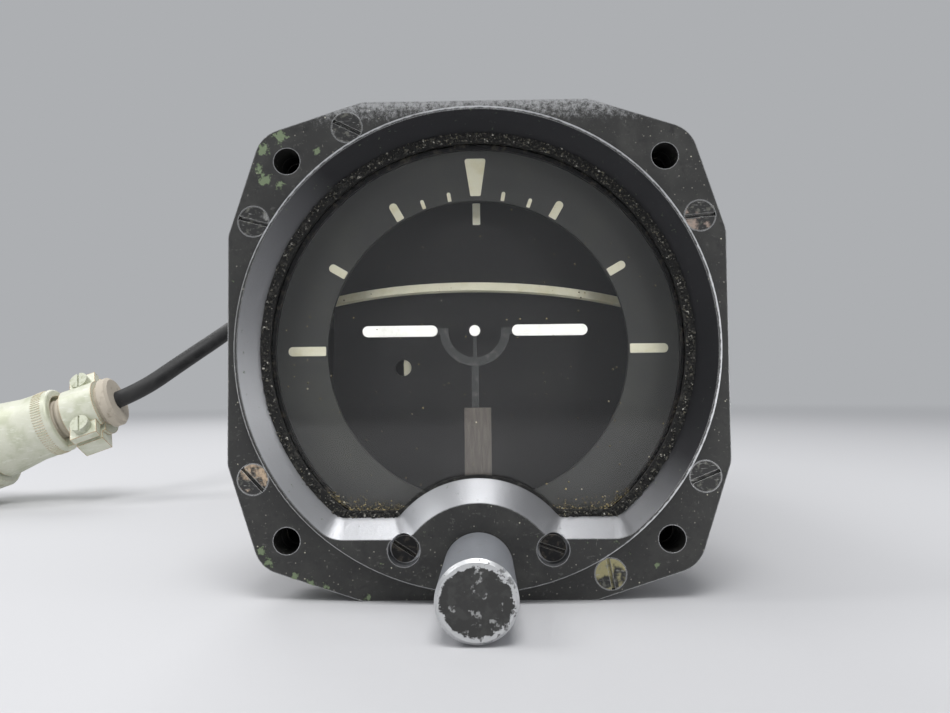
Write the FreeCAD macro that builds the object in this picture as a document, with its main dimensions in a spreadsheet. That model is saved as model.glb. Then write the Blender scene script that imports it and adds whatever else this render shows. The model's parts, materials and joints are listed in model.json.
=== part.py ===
import FreeCAD, Part
import math
import os

import Sketcher

# Attitude indicator (gyro horizon) of the standard 3 1/8 inch panel size, with its cable and plug.
#
# Frame: millimetres. The origin is the centre of the four panel bolts on the flange's front face.
# The dial looks along -Y, +Y runs back into the case, +X is to the right of the dial, +Z is up.
#
# The gyro hangs in a roll gimbal, which turns on a spindle at the back. A pin on the gyro housing
# drives the horizon arm through a slot. The arm's pivot lies as far behind the pitch axis as the pin
# lies before it, so the arm always turns by half of the housing's angle. The knob lifts the miniature
# airplane through two gears and a rack.

DOC = FreeCAD.newDocument("attitude_indicator")
SHEET = DOC.addObject("Spreadsheet::Sheet", "sizes")
Vector = FreeCAD.Vector
Rotation = FreeCAD.Rotation
Placement = FreeCAD.Placement

SIZES = {
    # flange and panel bolts
    "flange_border": 1.85,
    "flange_flat_half": 19.0,
    "flange_slope": 18.0,
    "flange_blend_r": 3.0,
    "bolt_gap": 2.858,
    "bolt_hole_r": 2.2,
    "bezel_thick": 5.0,
    "disc_r": 39.4,
    "disc_rise": 2.5,
    # bevelled window in the bezel, at its front edge and at its back edge
    "lip_wide": 0.5,
    "bevel_wide": 2.6,
    "chord_over_knob": 4.35,
    "chord_bevel": 2.9,
    "arch_below_knob": 3.3,
    "arch_front_r": 13.4,
    "arch_bevel": 3.5,
    "corner_front_r": 5.5,
    "corner_back_r": 2.6,
    "arch_foot_front_r": 3.9,
    "arch_foot_back_r": 1.8,
    # glass and what holds it
    "glass_ledge": 1.5,
    "ledge_wide": 1.2,
    "ledge_chord_wide": 1.45,
    "glass_gap": 0.15,
    "glass_thick": 2.0,
    "gasket_thick": 0.8,
    "gasket_show": 1.6,
    "gasket_chord_show": 1.05,
    "gasket_arch_show": 0.5,
    "retainer_width": 2.0,
    # slotted screws in the flange and beside the knob
    "rim_screw_gap": 0.85,
    "rim_head_r": 2.5,
    "rim_head_deep": 1.6,
    "rim_shank_r": 1.45,
    "face_screw_x": 11.93,
    "face_screw_over_knob": 2.65,
    "face_head_r": 2.2,
    "face_head_tall": 1.4,
    "face_counterbore_r": 2.6,
    "face_counterbore_deep": 2.8,
    "face_shank_r": 1.3,
    "slot_wide": 0.6,
    "slot_deep": 0.7,
    "head_gap": 0.06,
    # case
    "case_step": 1.3,
    "case_wall": 1.6,
    "case_flange_thick": 3.0,
    "case_room": 29.0,
    "mask_ledge_wide": 1.3,
    "mask_ledge_thick": 1.4,
    "bulkhead_ledge_wide": 2.0,
    "bulkhead_ledge_thick": 2.0,
    "rim_wide": 4.0,
    "rim_deep": 5.0,
    "cover_thick": 3.0,
    "cover_screw_count": 6,
    "cover_screw_r": 1.1,
    "cover_head_r": 1.9,
    "cover_head_tall": 1.2,
    "gear_notch_half": 4.2,
    "gear_notch_below_knob": 4.0,
    # mask dial
    "mask_room": 0.2,
    "mask_thick": 1.0,
    "mask_band": 10.0,
    "mask_gap": 0.1,
    "snap_ring_thick": 0.6,
    "snap_ring_wide": 1.1,
    # adjusting knob, its shaft and its gears
    "knob_inset": 4.2,
    "knob_base_r": 5.55,
    "knob_front_r": 5.75,
    "knob_long": 19.0,
    "knob_gap": 0.3,
    "knob_edge": 0.45,
    "knob_bore_deep": 14.0,
    "knob_shaft_r": 2.0,
    "set_screw_r": 1.0,
    "set_screw_back": 4.0,
    "shaft_gap": 0.05,
    "bush_r": 3.2,
    "gear_module": 0.4,
    "gear_teeth": 15,
    "gear_backlash": 0.06,
    "gear_thick": 0.7,
    "gear_gap": 0.2,
    "idler_aside": 3.5,
    "idler_thick": 2.0,
    "idler_pin_r": 0.8,
    "idler_head_r": 1.4,
    # miniature airplane, its slide and its guide
    "base_thick": 0.6,
    "tongue_half": 2.25,
    "tongue_long": 11.4,
    "tongue_over_knob": 13.7,
    "plate_half": 14.4,
    "plate_low_half": 6.0,
    "plate_neck_half": 7.0,
    "plate_neck_long": 5.0,
    "plate_gap": 0.2,
    "guide_wall": 0.6,
    "guide_back_thick": 0.4,
    "slide_gap": 0.15,
    "slide_thick": 0.9,
    "slide_below_tongue": 1.9,
    "slide_shoulder_up": 0.2,
    "symbol_travel_down": 5.6,
    "symbol_travel_up": 0.4,
    "symbol_x": -0.4,
    "symbol_z": 3.15,
    "bracket_thick": 0.5,
    "bracket_r": 5.3,
    "bracket_band": 1.4,
    "stem_wide": 1.1,
    "needle_wide": 0.5,
    "wing_inner": 6.4,
    "wing_outer": 19.3,
    "wing_half_tall": 0.95,
    "wing_thick": 0.6,
    "dot_r": 0.93,
    # roll gimbal
    "roll_rest": 0.85,
    "bar_room": 12.0,
    "disk_thick": 1.2,
    "disk_room": 5.0,
    "disk_arm_gap": 0.6,
    "disk_hole_r": 1.6,
    "disk_hole_x": -14.8,
    "disk_hole_z": -2.9,
    "gimbal_room": 8.1,
    "gimbal_wall": 2.0,
    "gimbal_half_tall": 14.0,
    "gimbal_nose_half_tall": 7.0,
    "gimbal_nose_long": 13.0,
    "gimbal_tab": 6.9,
    "gimbal_tab_thick": 1.8,
    "gimbal_back_gap": 5.4,
    "gimbal_window_edge": 4.0,
    "gimbal_weight_thick": 2.2,
    "gimbal_weight_long": 12.0,
    "gimbal_weight_set": 5.0,
    "gimbal_back_thick": 3.0,
    "spindle_r": 4.0,
    "spindle_flange_r": 8.0,
    "spindle_flange_thick": 2.0,
    "spindle_tail": 2.0,
    "roll_bearing_r": 8.5,
    "roll_bearing_thick": 4.0,
    "hub_r": 11.0,
    "hub_gap": 7.0,
    "hub_long": 22.0,
    "hub_lip": 1.5,
    "bulkhead_set": 11.0,
    "bulkhead_thick": 3.0,
    "bulkhead_window_r": 8.0,
    "bulkhead_window_count": 6,
    "slip_ring_r": 6.5,
    "slip_ring_set": 2.0,
    "slip_ring_count": 5,
    "slip_ring_pitch": 2.4,
    "slip_groove": 0.7,
    "brush_wide": 4.4,
    "brush_lap": 2.2,
    "brush_half_tall": 5.0,
    "brush_gap": 0.1,
    # gyro housing and rotor
    "pitch_gap": 2.2,
    "pitch_rest": 29.8,
    "pitch_travel": 48.0,
    "housing_room": 5.9,
    "housing_wall": 2.0,
    "housing_barrel_half": 9.0,
    "housing_half_tall": 18.8,
    "housing_end_r": 12.0,
    "housing_split": 6.0,
    "housing_rim_wide": 1.1,
    "housing_rim_half": 1.2,
    "housing_boss_r": 4.5,
    "housing_boss_tall": 2.0,
    "trunnion_r": 2.5,
    "pitch_bearing_r": 4.5,
    "rotor_gap": 2.2,
    "rotor_rim_wide": 5.0,
    "rotor_low": 7.9,
    "rotor_high": 8.1,
    "rotor_web": 3.0,
    "rotor_hub_tall": 2.0,
    "rotor_hub_low": 1.5,
    "rotor_hub_r": 3.5,
    "rotor_shaft_r": 1.5,
    "rotor_bearing_r": 4.0,
    "rotor_bearing_thick": 3.0,
    "post_r": 5.5,
    "post_top": 1.0,
    "stator_gap": 0.6,
    "stator_low": 8.0,
    "stator_high": 0.0,
    # horizon bar and arm
    "drive_radius": 9.0,
    "drive_pin_r": 1.0,
    "drive_gap": 0.04,
    "drive_slot_half": 1.4,
    "bar_gap": 2.0,
    "bar_curve_r": 55.1,
    "bar_deep": 1.0,
    "bar_tall": 1.55,
    "bar_end_gap": 0.7,
    "arm_gap": 0.8,
    "arm_thick": 1.0,
    "arm_half_tall": 2.0,
    "arm_nose_half_tall": 1.0,
    "arm_slot_half_tall": 3.4,
    "arm_pivot_boss_r": 4.0,
    "arm_tail": 12.0,
    "arm_slot_front": 1.4,
    "arm_slot_back": 3.2,
    "arm_lobe_front": 3.5,
    "arm_lobe_back": 4.5,
    "arm_taper": 4.0,
    "arm_weight_r": 4.2,
    "arm_weight_thick": 3.6,
    "pivot_shoulder_r": 1.5,
    "pivot_head_r": 2.6,
    "pivot_step_r": 2.4,
    "pivot_thread_r": 1.45,
    "pivot_gap": 0.1,
    # cable and its gland
    "gland_x": -22.0,
    "gland_z": 8.0,
    "gland_r": 6.5,
    "gland_long": 7.0,
    "gland_nut_r": 6.0,
    "gland_nut_long": 6.0,
    "cable_r": 2.65,
    # plug, measured along its axis from the face of the rubber bush
    "bush_lip_r": 7.8,
    "bush_lip_long": 3.0,
    "bush_out_r": 6.3,
    "bush_long": 13.0,
    "clamp_start": 4.5,
    "clamp_long": 10.0,
    "clamp_r": 9.4,
    "saddle_thick": 1.7,
    "clamp_gap": 1.2,
    "clamp_window": 5.5,
    "clamp_ring_long": 4.0,
    "ear_x": 8.7,
    "ear_half_wide": 3.4,
    "ear_low": 6.4,
    "ear_tall": 2.6,
    "clamp_screw_r": 1.5,
    "clamp_head_r": 2.7,
    "clamp_head_tall": 2.4,
    "endbell_long": 13.0,
    "endbell_small_r": 9.7,
    "endbell_large_r": 11.3,
    "endbell_wall": 1.6,
    "neck_long": 1.5,
    "neck_r": 10.3,
    "nut_long": 13.0,
    "nut_r": 13.8,
    "nut_wall": 1.8,
    "nut_gap": 0.08,
    "nut_flutes": 24,
    "nut_flute_r": 0.7,
    "nut_collar": 3.0,
    "shell_r": 11.2,
    "shell_wall": 1.2,
    "insert_thick": 2.5,
    "contact_count": 6,
    "contact_circle_r": 5.2,
    "contact_r": 0.8,
    "contact_long": 2.5,
}

for row, (alias, number) in enumerate(SIZES.items(), start=1):
    SHEET.set("A%d" % row, str(number))
    SHEET.setAlias("A%d" % row, alias)
DOC.recompute()


# ---------------------------------------------------------------------------------------------------
# sizes as expressions


class Size:
    """A number together with the spreadsheet expression that it comes from."""

    def __init__(self, text, value):
        self.text = text
        self.value = value

    def __add__(self, other):
        other = as_size(other)
        return Size("(%s + %s)" % (self.text, other.text), self.value + other.value)

    def __sub__(self, other):
        other = as_size(other)
        return Size("(%s - %s)" % (self.text, other.text), self.value - other.value)

    def __mul__(self, other):
        other = as_size(other)
        return Size("(%s * %s)" % (self.text, other.text), self.value * other.value)

    def __truediv__(self, other):
        other = as_size(other)
        return Size("(%s / %s)" % (self.text, other.text), self.value / other.value)

    def __radd__(self, other):
        return as_size(other) + self

    def __rsub__(self, other):
        return as_size(other) - self

    def __rmul__(self, other):
        return as_size(other) * self

    def __neg__(self):
        return Size("(0 - %s)" % self.text, -self.value)


def as_size(number):
    """Return the number as a Size."""
    if isinstance(number, Size):
        return number
    return Size("(%r)" % float(number), float(number))


def sine(angle):
    """Sine of an angle in degrees."""
    angle = as_size(angle)
    return Size("sin(%s)" % angle.text, math.sin(math.radians(angle.value)))


def cosine(angle):
    """Cosine of an angle in degrees."""
    angle = as_size(angle)
    return Size("cos(%s)" % angle.text, math.cos(math.radians(angle.value)))


def root(number):
    """Square root of a Size."""
    return Size("sqrt(%s)" % number.text, math.sqrt(number.value))


class Sizes:
    """Gives each spreadsheet cell as an attribute."""

    def __getattr__(self, alias):
        return Size("sizes.%s" % alias, float(SIZES[alias]))


s = Sizes()

# Sizes that follow from others. The raised disc fills the panel's cut-out and leads the rest: the
# flange and its bolts stand round it, and the window, the case and the works fit inside it.
s.flange_half = s.disc_r + s.flange_border
s.bolt_half = (s.disc_r + s.bolt_hole_r + s.bolt_gap) * sine(45)
s.rim_screw_circle_r = s.disc_r + s.rim_head_r + s.rim_screw_gap
s.window_front_r = s.disc_r - s.lip_wide
s.window_back_r = s.window_front_r - s.bevel_wide
s.knob_drop = s.disc_r - s.knob_inset
s.chord_front = s.knob_drop - s.chord_over_knob
s.chord_back = s.chord_front - s.chord_bevel
s.arch_centre = s.knob_drop + s.arch_below_knob
s.arch_back_r = s.arch_front_r + s.arch_bevel
s.glass_pocket_r = s.window_back_r + s.ledge_wide
s.glass_pocket_chord = s.chord_back + s.ledge_chord_wide
s.gasket_in_r = s.window_back_r - s.gasket_show
s.gasket_chord = s.chord_back - s.gasket_chord_show
s.gasket_arch_r = s.arch_back_r + s.gasket_arch_show
s.face_screw_drop = s.knob_drop - s.face_screw_over_knob
s.case_r = s.disc_r - s.case_step
BORE_R = s.case_r - s.case_wall

# Gears, rack and miniature airplane, from the gear plate back to the mask dial.
s.gear_notch_drop = s.knob_drop + s.gear_notch_below_knob
s.tongue_foot = s.knob_drop - s.tongue_over_knob
s.tongue_top = s.tongue_foot - s.tongue_long
s.slide_top = s.tongue_top + s.slide_below_tongue
s.slide_shoulder = s.tongue_foot - s.slide_shoulder_up
s.slide_half = s.tongue_half - s.guide_wall - s.slide_gap
BASE_BACK = s.bezel_thick + s.base_thick
GEAR_FRONT = BASE_BACK + s.gear_gap
GEAR_BACK = GEAR_FRONT + s.gear_thick
SLIDE_FRONT = GEAR_BACK + s.gear_gap
SLIDE_BACK = SLIDE_FRONT + s.slide_thick
IDLER_BACK = GEAR_FRONT + s.idler_thick
GUIDE_BACK = SLIDE_BACK + s.gear_gap + s.guide_back_thick
s.mask_front = GUIDE_BACK + s.mask_room + s.snap_ring_thick
MASK_BACK = s.mask_front + s.mask_thick
s.mask_in_r = BORE_R - s.mask_band

# Works behind the mask: horizon bar, sky disk, gimbal, gyro, spindle.
s.bar_front = MASK_BACK + s.bar_gap
s.disk_front = s.bar_front + s.bar_room
DISK_BACK = s.disk_front + s.disk_thick
s.disk_r = BORE_R - s.disk_room
s.gimbal_half_wide = BORE_R - s.gimbal_room
GIMBAL_IN = s.gimbal_half_wide - s.gimbal_wall
s.arm_inner = s.gimbal_half_wide + s.arm_gap
s.bar_right = s.arm_inner - s.bar_end_gap
s.disk_flat = s.arm_inner - s.disk_arm_gap
s.housing_r = GIMBAL_IN - s.housing_room
s.housing_rim_r = s.housing_r + s.housing_rim_wide
s.housing_boss_out = s.housing_r + s.housing_boss_tall
s.rotor_r = s.housing_r - s.housing_wall - s.rotor_gap
s.rotor_bore_r = s.rotor_r - s.rotor_rim_wide
s.stator_r = s.rotor_bore_r - s.stator_gap
s.pitch_axis = DISK_BACK + s.housing_rim_r + s.pitch_gap
ARM_PIVOT = s.pitch_axis + s.drive_radius
GIMBAL_PLATE = s.pitch_axis + s.housing_rim_r + s.gimbal_back_gap
s.gimbal_back = GIMBAL_PLATE + s.gimbal_back_thick
s.hub_front = s.gimbal_back + s.spindle_flange_thick + s.hub_gap
s.hub_back = s.hub_front + s.hub_long
s.bulkhead_back = s.hub_front + s.bulkhead_set
s.bulkhead_window_circle_r = (s.hub_r + BORE_R) / 2
SLIP_START = s.hub_back + s.slip_ring_set
SLIP_END = SLIP_START + s.slip_ring_pitch * s.slip_ring_count
s.spindle_end = SLIP_END + s.spindle_tail
s.case_back = s.spindle_end + s.case_room


def bind(thing, name, size):
    """Bind a property of a document object to a size."""
    thing.setExpression(name, as_size(size).text)


# ---------------------------------------------------------------------------------------------------
# building blocks

PLANES = {"front": "XZ_Plane", "side": "YZ_Plane", "top": "XY_Plane"}
NODES = {}
CUTS = []


def circle(x, y, radius):
    """A circle in a sketch."""
    return ("circle", x, y, radius)


def polygon(*points):
    """A closed polygon in a sketch."""
    return ("polygon", points)


def rectangle(x_low, x_high, y_low, y_high):
    """An upright rectangle in a sketch."""
    return polygon((x_low, y_low), (x_high, y_low), (x_high, y_high), (x_low, y_high))


def segment(radius, chord):
    """A disc about the origin with its bottom cut off level at -chord."""
    return ("segment", radius, chord)


def place_point(sketch, geometry, which, x, y):
    """Fix one point of a sketch at two bound distances from the origin."""
    for kind, size in (("DistanceX", as_size(x)), ("DistanceY", as_size(y))):
        number = sketch.addConstraint(Sketcher.Constraint(kind, -1, 1, geometry, which, size.value))
        sketch.setExpression("Constraints[%d]" % number, size.text)


def bind_radius(sketch, geometry, radius):
    """Bind the radius of a circle or an arc."""
    number = sketch.addConstraint(Sketcher.Constraint("Radius", geometry, as_size(radius).value))
    sketch.setExpression("Constraints[%d]" % number, as_size(radius).text)


def draw_circle(sketch, x, y, radius):
    """Draw a bound circle."""
    centre = Vector(as_size(x).value, as_size(y).value, 0)
    index = sketch.addGeometry(Part.Circle(centre, Vector(0, 0, 1), as_size(radius).value))
    place_point(sketch, index, 3, x, y)
    bind_radius(sketch, index, radius)


def draw_polygon(sketch, points):
    """Draw a closed polygon whose corners are all bound."""
    corners = [Vector(as_size(x).value, as_size(y).value, 0) for x, y in points]
    first = sketch.GeometryCount
    count = len(corners)
    for index, corner in enumerate(corners):
        sketch.addGeometry(Part.LineSegment(corner, corners[(index + 1) % count]))
    for index in range(count):
        following = first + (index + 1) % count
        sketch.addConstraint(Sketcher.Constraint("Coincident", first + index, 2, following, 1))
    for index, (x, y) in enumerate(points):
        place_point(sketch, first + index, 1, x, y)


def draw_segment(sketch, radius, chord):
    """Draw a disc with a level chord: one arc and one line."""
    r = as_size(radius).value
    low = as_size(chord).value
    end = math.asin(-low / r)
    full = Part.Circle(Vector(0, 0, 0), Vector(0, 0, 1), r)
    arc = sketch.addGeometry(Part.ArcOfCircle(full, end, math.pi - end))
    half = math.sqrt(r * r - low * low)
    line = sketch.addGeometry(Part.LineSegment(Vector(-half, -low, 0), Vector(half, -low, 0)))
    sketch.addConstraint(Sketcher.Constraint("Coincident", arc, 3, -1, 1))
    sketch.addConstraint(Sketcher.Constraint("Coincident", arc, 2, line, 1))
    sketch.addConstraint(Sketcher.Constraint("Coincident", arc, 1, line, 2))
    sketch.addConstraint(Sketcher.Constraint("Horizontal", line))
    bind_radius(sketch, arc, radius)
    number = sketch.addConstraint(Sketcher.Constraint("DistanceY", -1, 1, line, 1, -low))
    sketch.setExpression("Constraints[%d]" % number, (-as_size(chord)).text)


DRAW = {"circle": draw_circle, "polygon": draw_polygon, "segment": draw_segment}


class Piece:
    """One PartDesign body, built from bound sketches."""

    def __init__(self, label):
        self.body = DOC.addObject("PartDesign::Body", label)
        self.body.Label = label

    def sketch(self, plane, level, shapes):
        """Add a sketch on one of the body's own planes, moved out to a level."""
        made = self.body.newObject("Sketcher::SketchObject", "outline")
        support = [f for f in self.body.Origin.OriginFeatures if f.Role == PLANES[plane]][0]
        made.AttachmentSupport = [(support, "")]
        made.MapMode = "FlatFace"
        out = -as_size(level) if plane == "front" else as_size(level)
        bind(made, "AttachmentOffset.Base.z", out)
        for shape in shapes:
            DRAW[shape[0]](made, *shape[1:])
        return made

    def pad(self, plane, level, length, *shapes, both=False):
        """Add material from a level onward along the plane's own axis, or both ways about it."""
        feature = self.body.newObject("PartDesign::Pad", "pad")
        feature.Profile = self.sketch(plane, level, shapes)
        feature.Reversed = plane == "front" and not both
        feature.SideType = "Symmetric" if both else "One side"
        bind(feature, "Length", length)
        return self

    def pocket(self, plane, level, length, *shapes, both=False):
        """Cut from a level onward along the plane's own axis, or both ways about it."""
        feature = self.body.newObject("PartDesign::Pocket", "pocket")
        feature.Profile = self.sketch(plane, level, shapes)
        feature.Reversed = plane != "front" and not both
        feature.SideType = "Symmetric" if both else "One side"
        bind(feature, "Length", length)
        CUTS.append(feature)
        return self

    def turn(self, axis, *points):
        """Revolve a profile about X, Y or Z. Points are (distance along the axis, radius)."""
        feature = self.body.newObject("PartDesign::Revolution", "turned")
        plane = "front" if axis == "Z" else "top"
        shape = polygon(*points) if axis == "X" else polygon(*[(r, along) for along, r in points])
        profile = self.sketch(plane, 0, [shape])
        feature.Profile = profile
        feature.ReferenceAxis = (profile, ["H_Axis" if axis == "X" else "V_Axis"])
        feature.Angle = 360
        return self

    def round_edges(self, radius, chosen):
        """Fillet the edges of the last feature that the test picks."""
        DOC.recompute()
        tip = self.body.Tip
        names = ["Edge%d" % n for n, e in enumerate(tip.Shape.Edges, start=1) if chosen(e)]
        feature = self.body.newObject("PartDesign::Fillet", "rounded")
        feature.Base = (tip, names)
        bind(feature, "Radius", radius)
        return self

    def around(self, feature_count, axis="Y_Axis"):
        """Repeat the last feature evenly round one of the body's own axes."""
        last = self.body.Tip
        pattern = self.body.newObject("PartDesign::PolarPattern", "pattern")
        pattern.Originals = [last]
        support = [f for f in self.body.Origin.OriginFeatures if f.Role == axis][0]
        pattern.Axis = (support, [""])
        pattern.Angle = 360
        bind(pattern, "Occurrences", feature_count)
        self.body.Tip = pattern
        return self


def node(label, thing, placement=None):
    """Register a finished sub-part under its node name."""
    if isinstance(thing, Piece):
        thing = thing.body
    thing.Label = label
    if placement is not None:
        thing.Placement = placement
    NODES[label] = thing
    return thing


def primitive(kind, name, turned=None, at=(0, 0, 0), **sizes):
    """Make a Part primitive with every size and its place bound."""
    made = DOC.addObject("Part::" + kind, name)
    if turned is not None:
        made.Placement = Placement(Vector(0, 0, 0), turned)
    for letter, size in zip("xyz", at):
        bind(made, "Placement.Base." + letter, size)
    for prop, size in sizes.items():
        bind(made, prop, size)
    return made


ALONG_Y = Rotation(Vector(1, 0, 0), -90)
ALONG_X = Rotation(Vector(0, 1, 0), 90)


def rod(name, along, at, radius, length):
    """A round rod that starts at a point and runs along an axis."""
    turned = {"X": ALONG_X, "Y": ALONG_Y, "Z": Rotation()}[along]
    return primitive("Cylinder", name, turned, at, Radius=radius, Height=length)


def tube(name, along, at, bore, radius, length):
    """A round tube that starts at a point and runs along an axis."""
    outer = rod(name + "_outer", along, at, radius, length)
    inner = rod(name + "_bore", along, at, bore, length)
    return cut(name, outer, inner)


def block(name, at, x, y, z):
    """A box from its low corner."""
    return primitive("Box", name, None, at, Length=x, Width=y, Height=z)


def cut(name, base, tool):
    """Base less tool."""
    made = DOC.addObject("Part::Cut", name)
    made.Base = base
    made.Tool = tool
    return made


def fuse(name, *parts):
    """Several touching solids joined into one."""
    made = DOC.addObject("Part::MultiFuse", name)
    made.Shapes = list(parts)
    made.Refine = True
    return made


def common(name, *parts):
    """What several solids share."""
    made = DOC.addObject("Part::MultiCommon", name)
    made.Shapes = list(parts)
    return made


def group(name, parts):
    """Separate solids that share one node."""
    made = DOC.addObject("Part::Compound", name)
    made.Links = list(parts)
    return made


def shaped(name, shape):
    """A feature whose shape comes from a formula."""
    made = DOC.addObject("Part::Feature", name)
    made.Shape = shape
    return made


def about_x(degrees):
    """Turn about the X axis."""
    return Placement(Vector(0, 0, 0), Rotation(Vector(1, 0, 0), degrees))


def moved(x, y, z):
    """Shift without turning."""
    return Placement(Vector(x, y, z), Rotation())


# Rest pose: the whole roll assembly has rolled a little, and the gyro housing has pitched.
ROLLED = Placement(Vector(0, 0, 0), Rotation(Vector(0, 1, 0), s.roll_rest.value))
AT_PITCH_AXIS = moved(0, s.pitch_axis.value, 0)
HOUSING = ROLLED * AT_PITCH_AXIS * about_x(-s.pitch_rest.value)
AT_PIVOT = moved(0, ARM_PIVOT.value, 0)
ARM = ROLLED * AT_PIVOT * about_x(-s.pitch_rest.value / 2)


# ---------------------------------------------------------------------------------------------------
# flange outline, shared by the bezel and the case


def flange_outline():
    """Square with its four corners drawn in by two sloping sides each."""
    slope = sine(s.flange_slope) / cosine(s.flange_slope)
    tip = (s.flange_half + s.flange_flat_half * slope) / (1 + slope)
    points = []
    for across, up in ((1, 1), (-1, 1), (-1, -1), (1, -1)):
        near_side = (s.flange_half * across, s.flange_flat_half * up)
        near_top = (s.flange_flat_half * across, s.flange_half * up)
        corner = [near_side, (tip * across, tip * up), near_top]
        points += corner if across * up > 0 else corner[::-1]
    return polygon(*points)


def along_y(edge):
    """Whether an edge is straight and runs along Y."""
    if edge.Curve.TypeId != "Part::GeomLine":
        return False
    run = edge.Vertexes[-1].Point - edge.Vertexes[0].Point
    return abs(run.x) < 1e-4 and abs(run.z) < 1e-4


def round_flange(piece):
    """Round the four corners about the bolt holes, and blend the eight bends between the sides."""
    out = s.flange_half - s.bolt_half
    in_by = s.bolt_half - s.flange_flat_half
    corner_r = out * cosine(s.flange_slope) - in_by * sine(s.flange_slope)

    def at_corner(edge):
        point = edge.Vertexes[0].Point
        return along_y(edge) and abs(abs(point.x) - abs(point.z)) < 0.01

    def at_bend(edge):
        point = edge.Vertexes[0].Point
        far = max(abs(point.x), abs(point.z))
        return along_y(edge) and abs(far - s.flange_half.value) < 0.01

    piece.round_edges(corner_r, at_corner)
    piece.round_edges(s.flange_blend_r, at_bend)


def bolt_circles():
    """The four panel bolt holes."""
    return [
        circle(s.bolt_half * across, s.bolt_half * up, s.bolt_hole_r)
        for across in (-1, 1)
        for up in (-1, 1)
    ]


# Rim screws: where each stands round the dial, and how its slot came to rest.
RIM_SCREWS = ((120, -26), (150, -15), (30, 5), (210, -47), (-30, 22), (-60, -80))
FACE_SCREWS = ((-1, -33), (1, -18))


def rim_circles(radius):
    """A circle at each rim screw."""
    return [
        circle(s.rim_screw_circle_r * cosine(angle), s.rim_screw_circle_r * sine(angle), radius)
        for angle, _ in RIM_SCREWS
    ]


def face_circles(radius):
    """A circle at each of the two screws beside the knob."""
    return [circle(s.face_screw_x * side, -s.face_screw_drop, radius) for side, _ in FACE_SCREWS]


def slotted_screw(name, x, z, face, slot_angle, head_r, head_tall, shank_r, shank_end):
    """One slotted screw that faces forward: head, shank and screwdriver slot."""
    head = rod(name + "_head", "Y", (x, face, z), head_r, head_tall)
    shank = rod(name + "_shank", "Y", (x, face + head_tall, z), shank_r, shank_end - face - head_tall)
    blade = block(name + "_blade", (-head_r, 0, s.slot_wide / -2), head_r * 2, s.slot_deep, s.slot_wide)
    blade.Placement = Placement(Vector(0, 0, 0), Rotation())
    holder = group(name + "_slot", [blade])
    holder.Placement = Placement(
        Vector(as_size(x).value, as_size(face).value, as_size(z).value),
        Rotation(Vector(0, 1, 0), -slot_angle),
    )
    return cut(name, fuse(name + "_solid", head, shank), holder)


# ---------------------------------------------------------------------------------------------------
# bezel, glass and screws


def window_wire(y, radius, chord, arch_r, corner_r, foot_r):
    """Outline of the window at one depth: a circle, a level chord and an arch over the knob."""
    arch = Vector(0, 0, -s.arch_centre.value)
    corner_z = corner_r - chord
    corner_x = math.sqrt((radius - corner_r) ** 2 - corner_z ** 2)
    corner = Vector(corner_x, 0, corner_z)
    foot_z = foot_r - chord
    foot_x = math.sqrt((arch_r + foot_r) ** 2 - (foot_z - arch.z) ** 2)
    foot = Vector(foot_x, 0, foot_z)
    on_circle = corner * (radius / corner.Length)
    on_arch = arch + (foot - arch) * (arch_r / (arch_r + foot_r))
    corner_low = Vector(corner_x, 0, -chord)
    foot_low = Vector(foot_x, 0, -chord)

    def middle(centre, r, a, b):
        halfway = (a - centre).normalize() + (b - centre).normalize()
        return centre + halfway.normalize() * r

    def mirrored(point):
        return Vector(-point.x, point.y, point.z)

    def at_depth(point):
        return Vector(point.x, y, point.z)

    corner_mid = middle(corner, corner_r, on_circle, corner_low)
    foot_mid = middle(foot, foot_r, foot_low, on_arch)
    arch_top = arch + Vector(0, 0, arch_r)
    top = Vector(0, 0, radius)
    steps = [
        ("arc", mirrored(on_circle), top, on_circle),
        ("arc", on_circle, corner_mid, corner_low),
        ("line", corner_low, foot_low),
        ("arc", foot_low, foot_mid, on_arch),
        ("arc", on_arch, arch_top, mirrored(on_arch)),
        ("arc", mirrored(on_arch), mirrored(foot_mid), mirrored(foot_low)),
        ("line", mirrored(foot_low), mirrored(corner_low)),
        ("arc", mirrored(corner_low), mirrored(corner_mid), mirrored(on_circle)),
    ]
    edges = []
    for kind, *points in steps:
        points = [at_depth(point) for point in points]
        if kind == "arc":
            edges.append(Part.Arc(*points).toShape())
        else:
            edges.append(Part.LineSegment(*points).toShape())
    return Part.Wire(edges)


def bevelled_window():
    """The hollow that the bevel leaves, run on a little before the disc and behind the ledge."""
    rise = s.disc_rise.value
    depth = s.glass_ledge.value + rise
    beyond = 0.5

    def at(y):
        share = (y + rise) / depth
        sizes = [
            (s.window_front_r, s.window_back_r),
            (s.chord_front, s.chord_back),
            (s.arch_front_r, s.arch_back_r),
            (s.corner_front_r, s.corner_back_r),
            (s.arch_foot_front_r, s.arch_foot_back_r),
        ]
        return window_wire(y, *[a.value + (b.value - a.value) * share for a, b in sizes])

    return Part.makeLoft([at(-rise - beyond), at(s.glass_ledge.value + beyond)], True, True)


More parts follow.
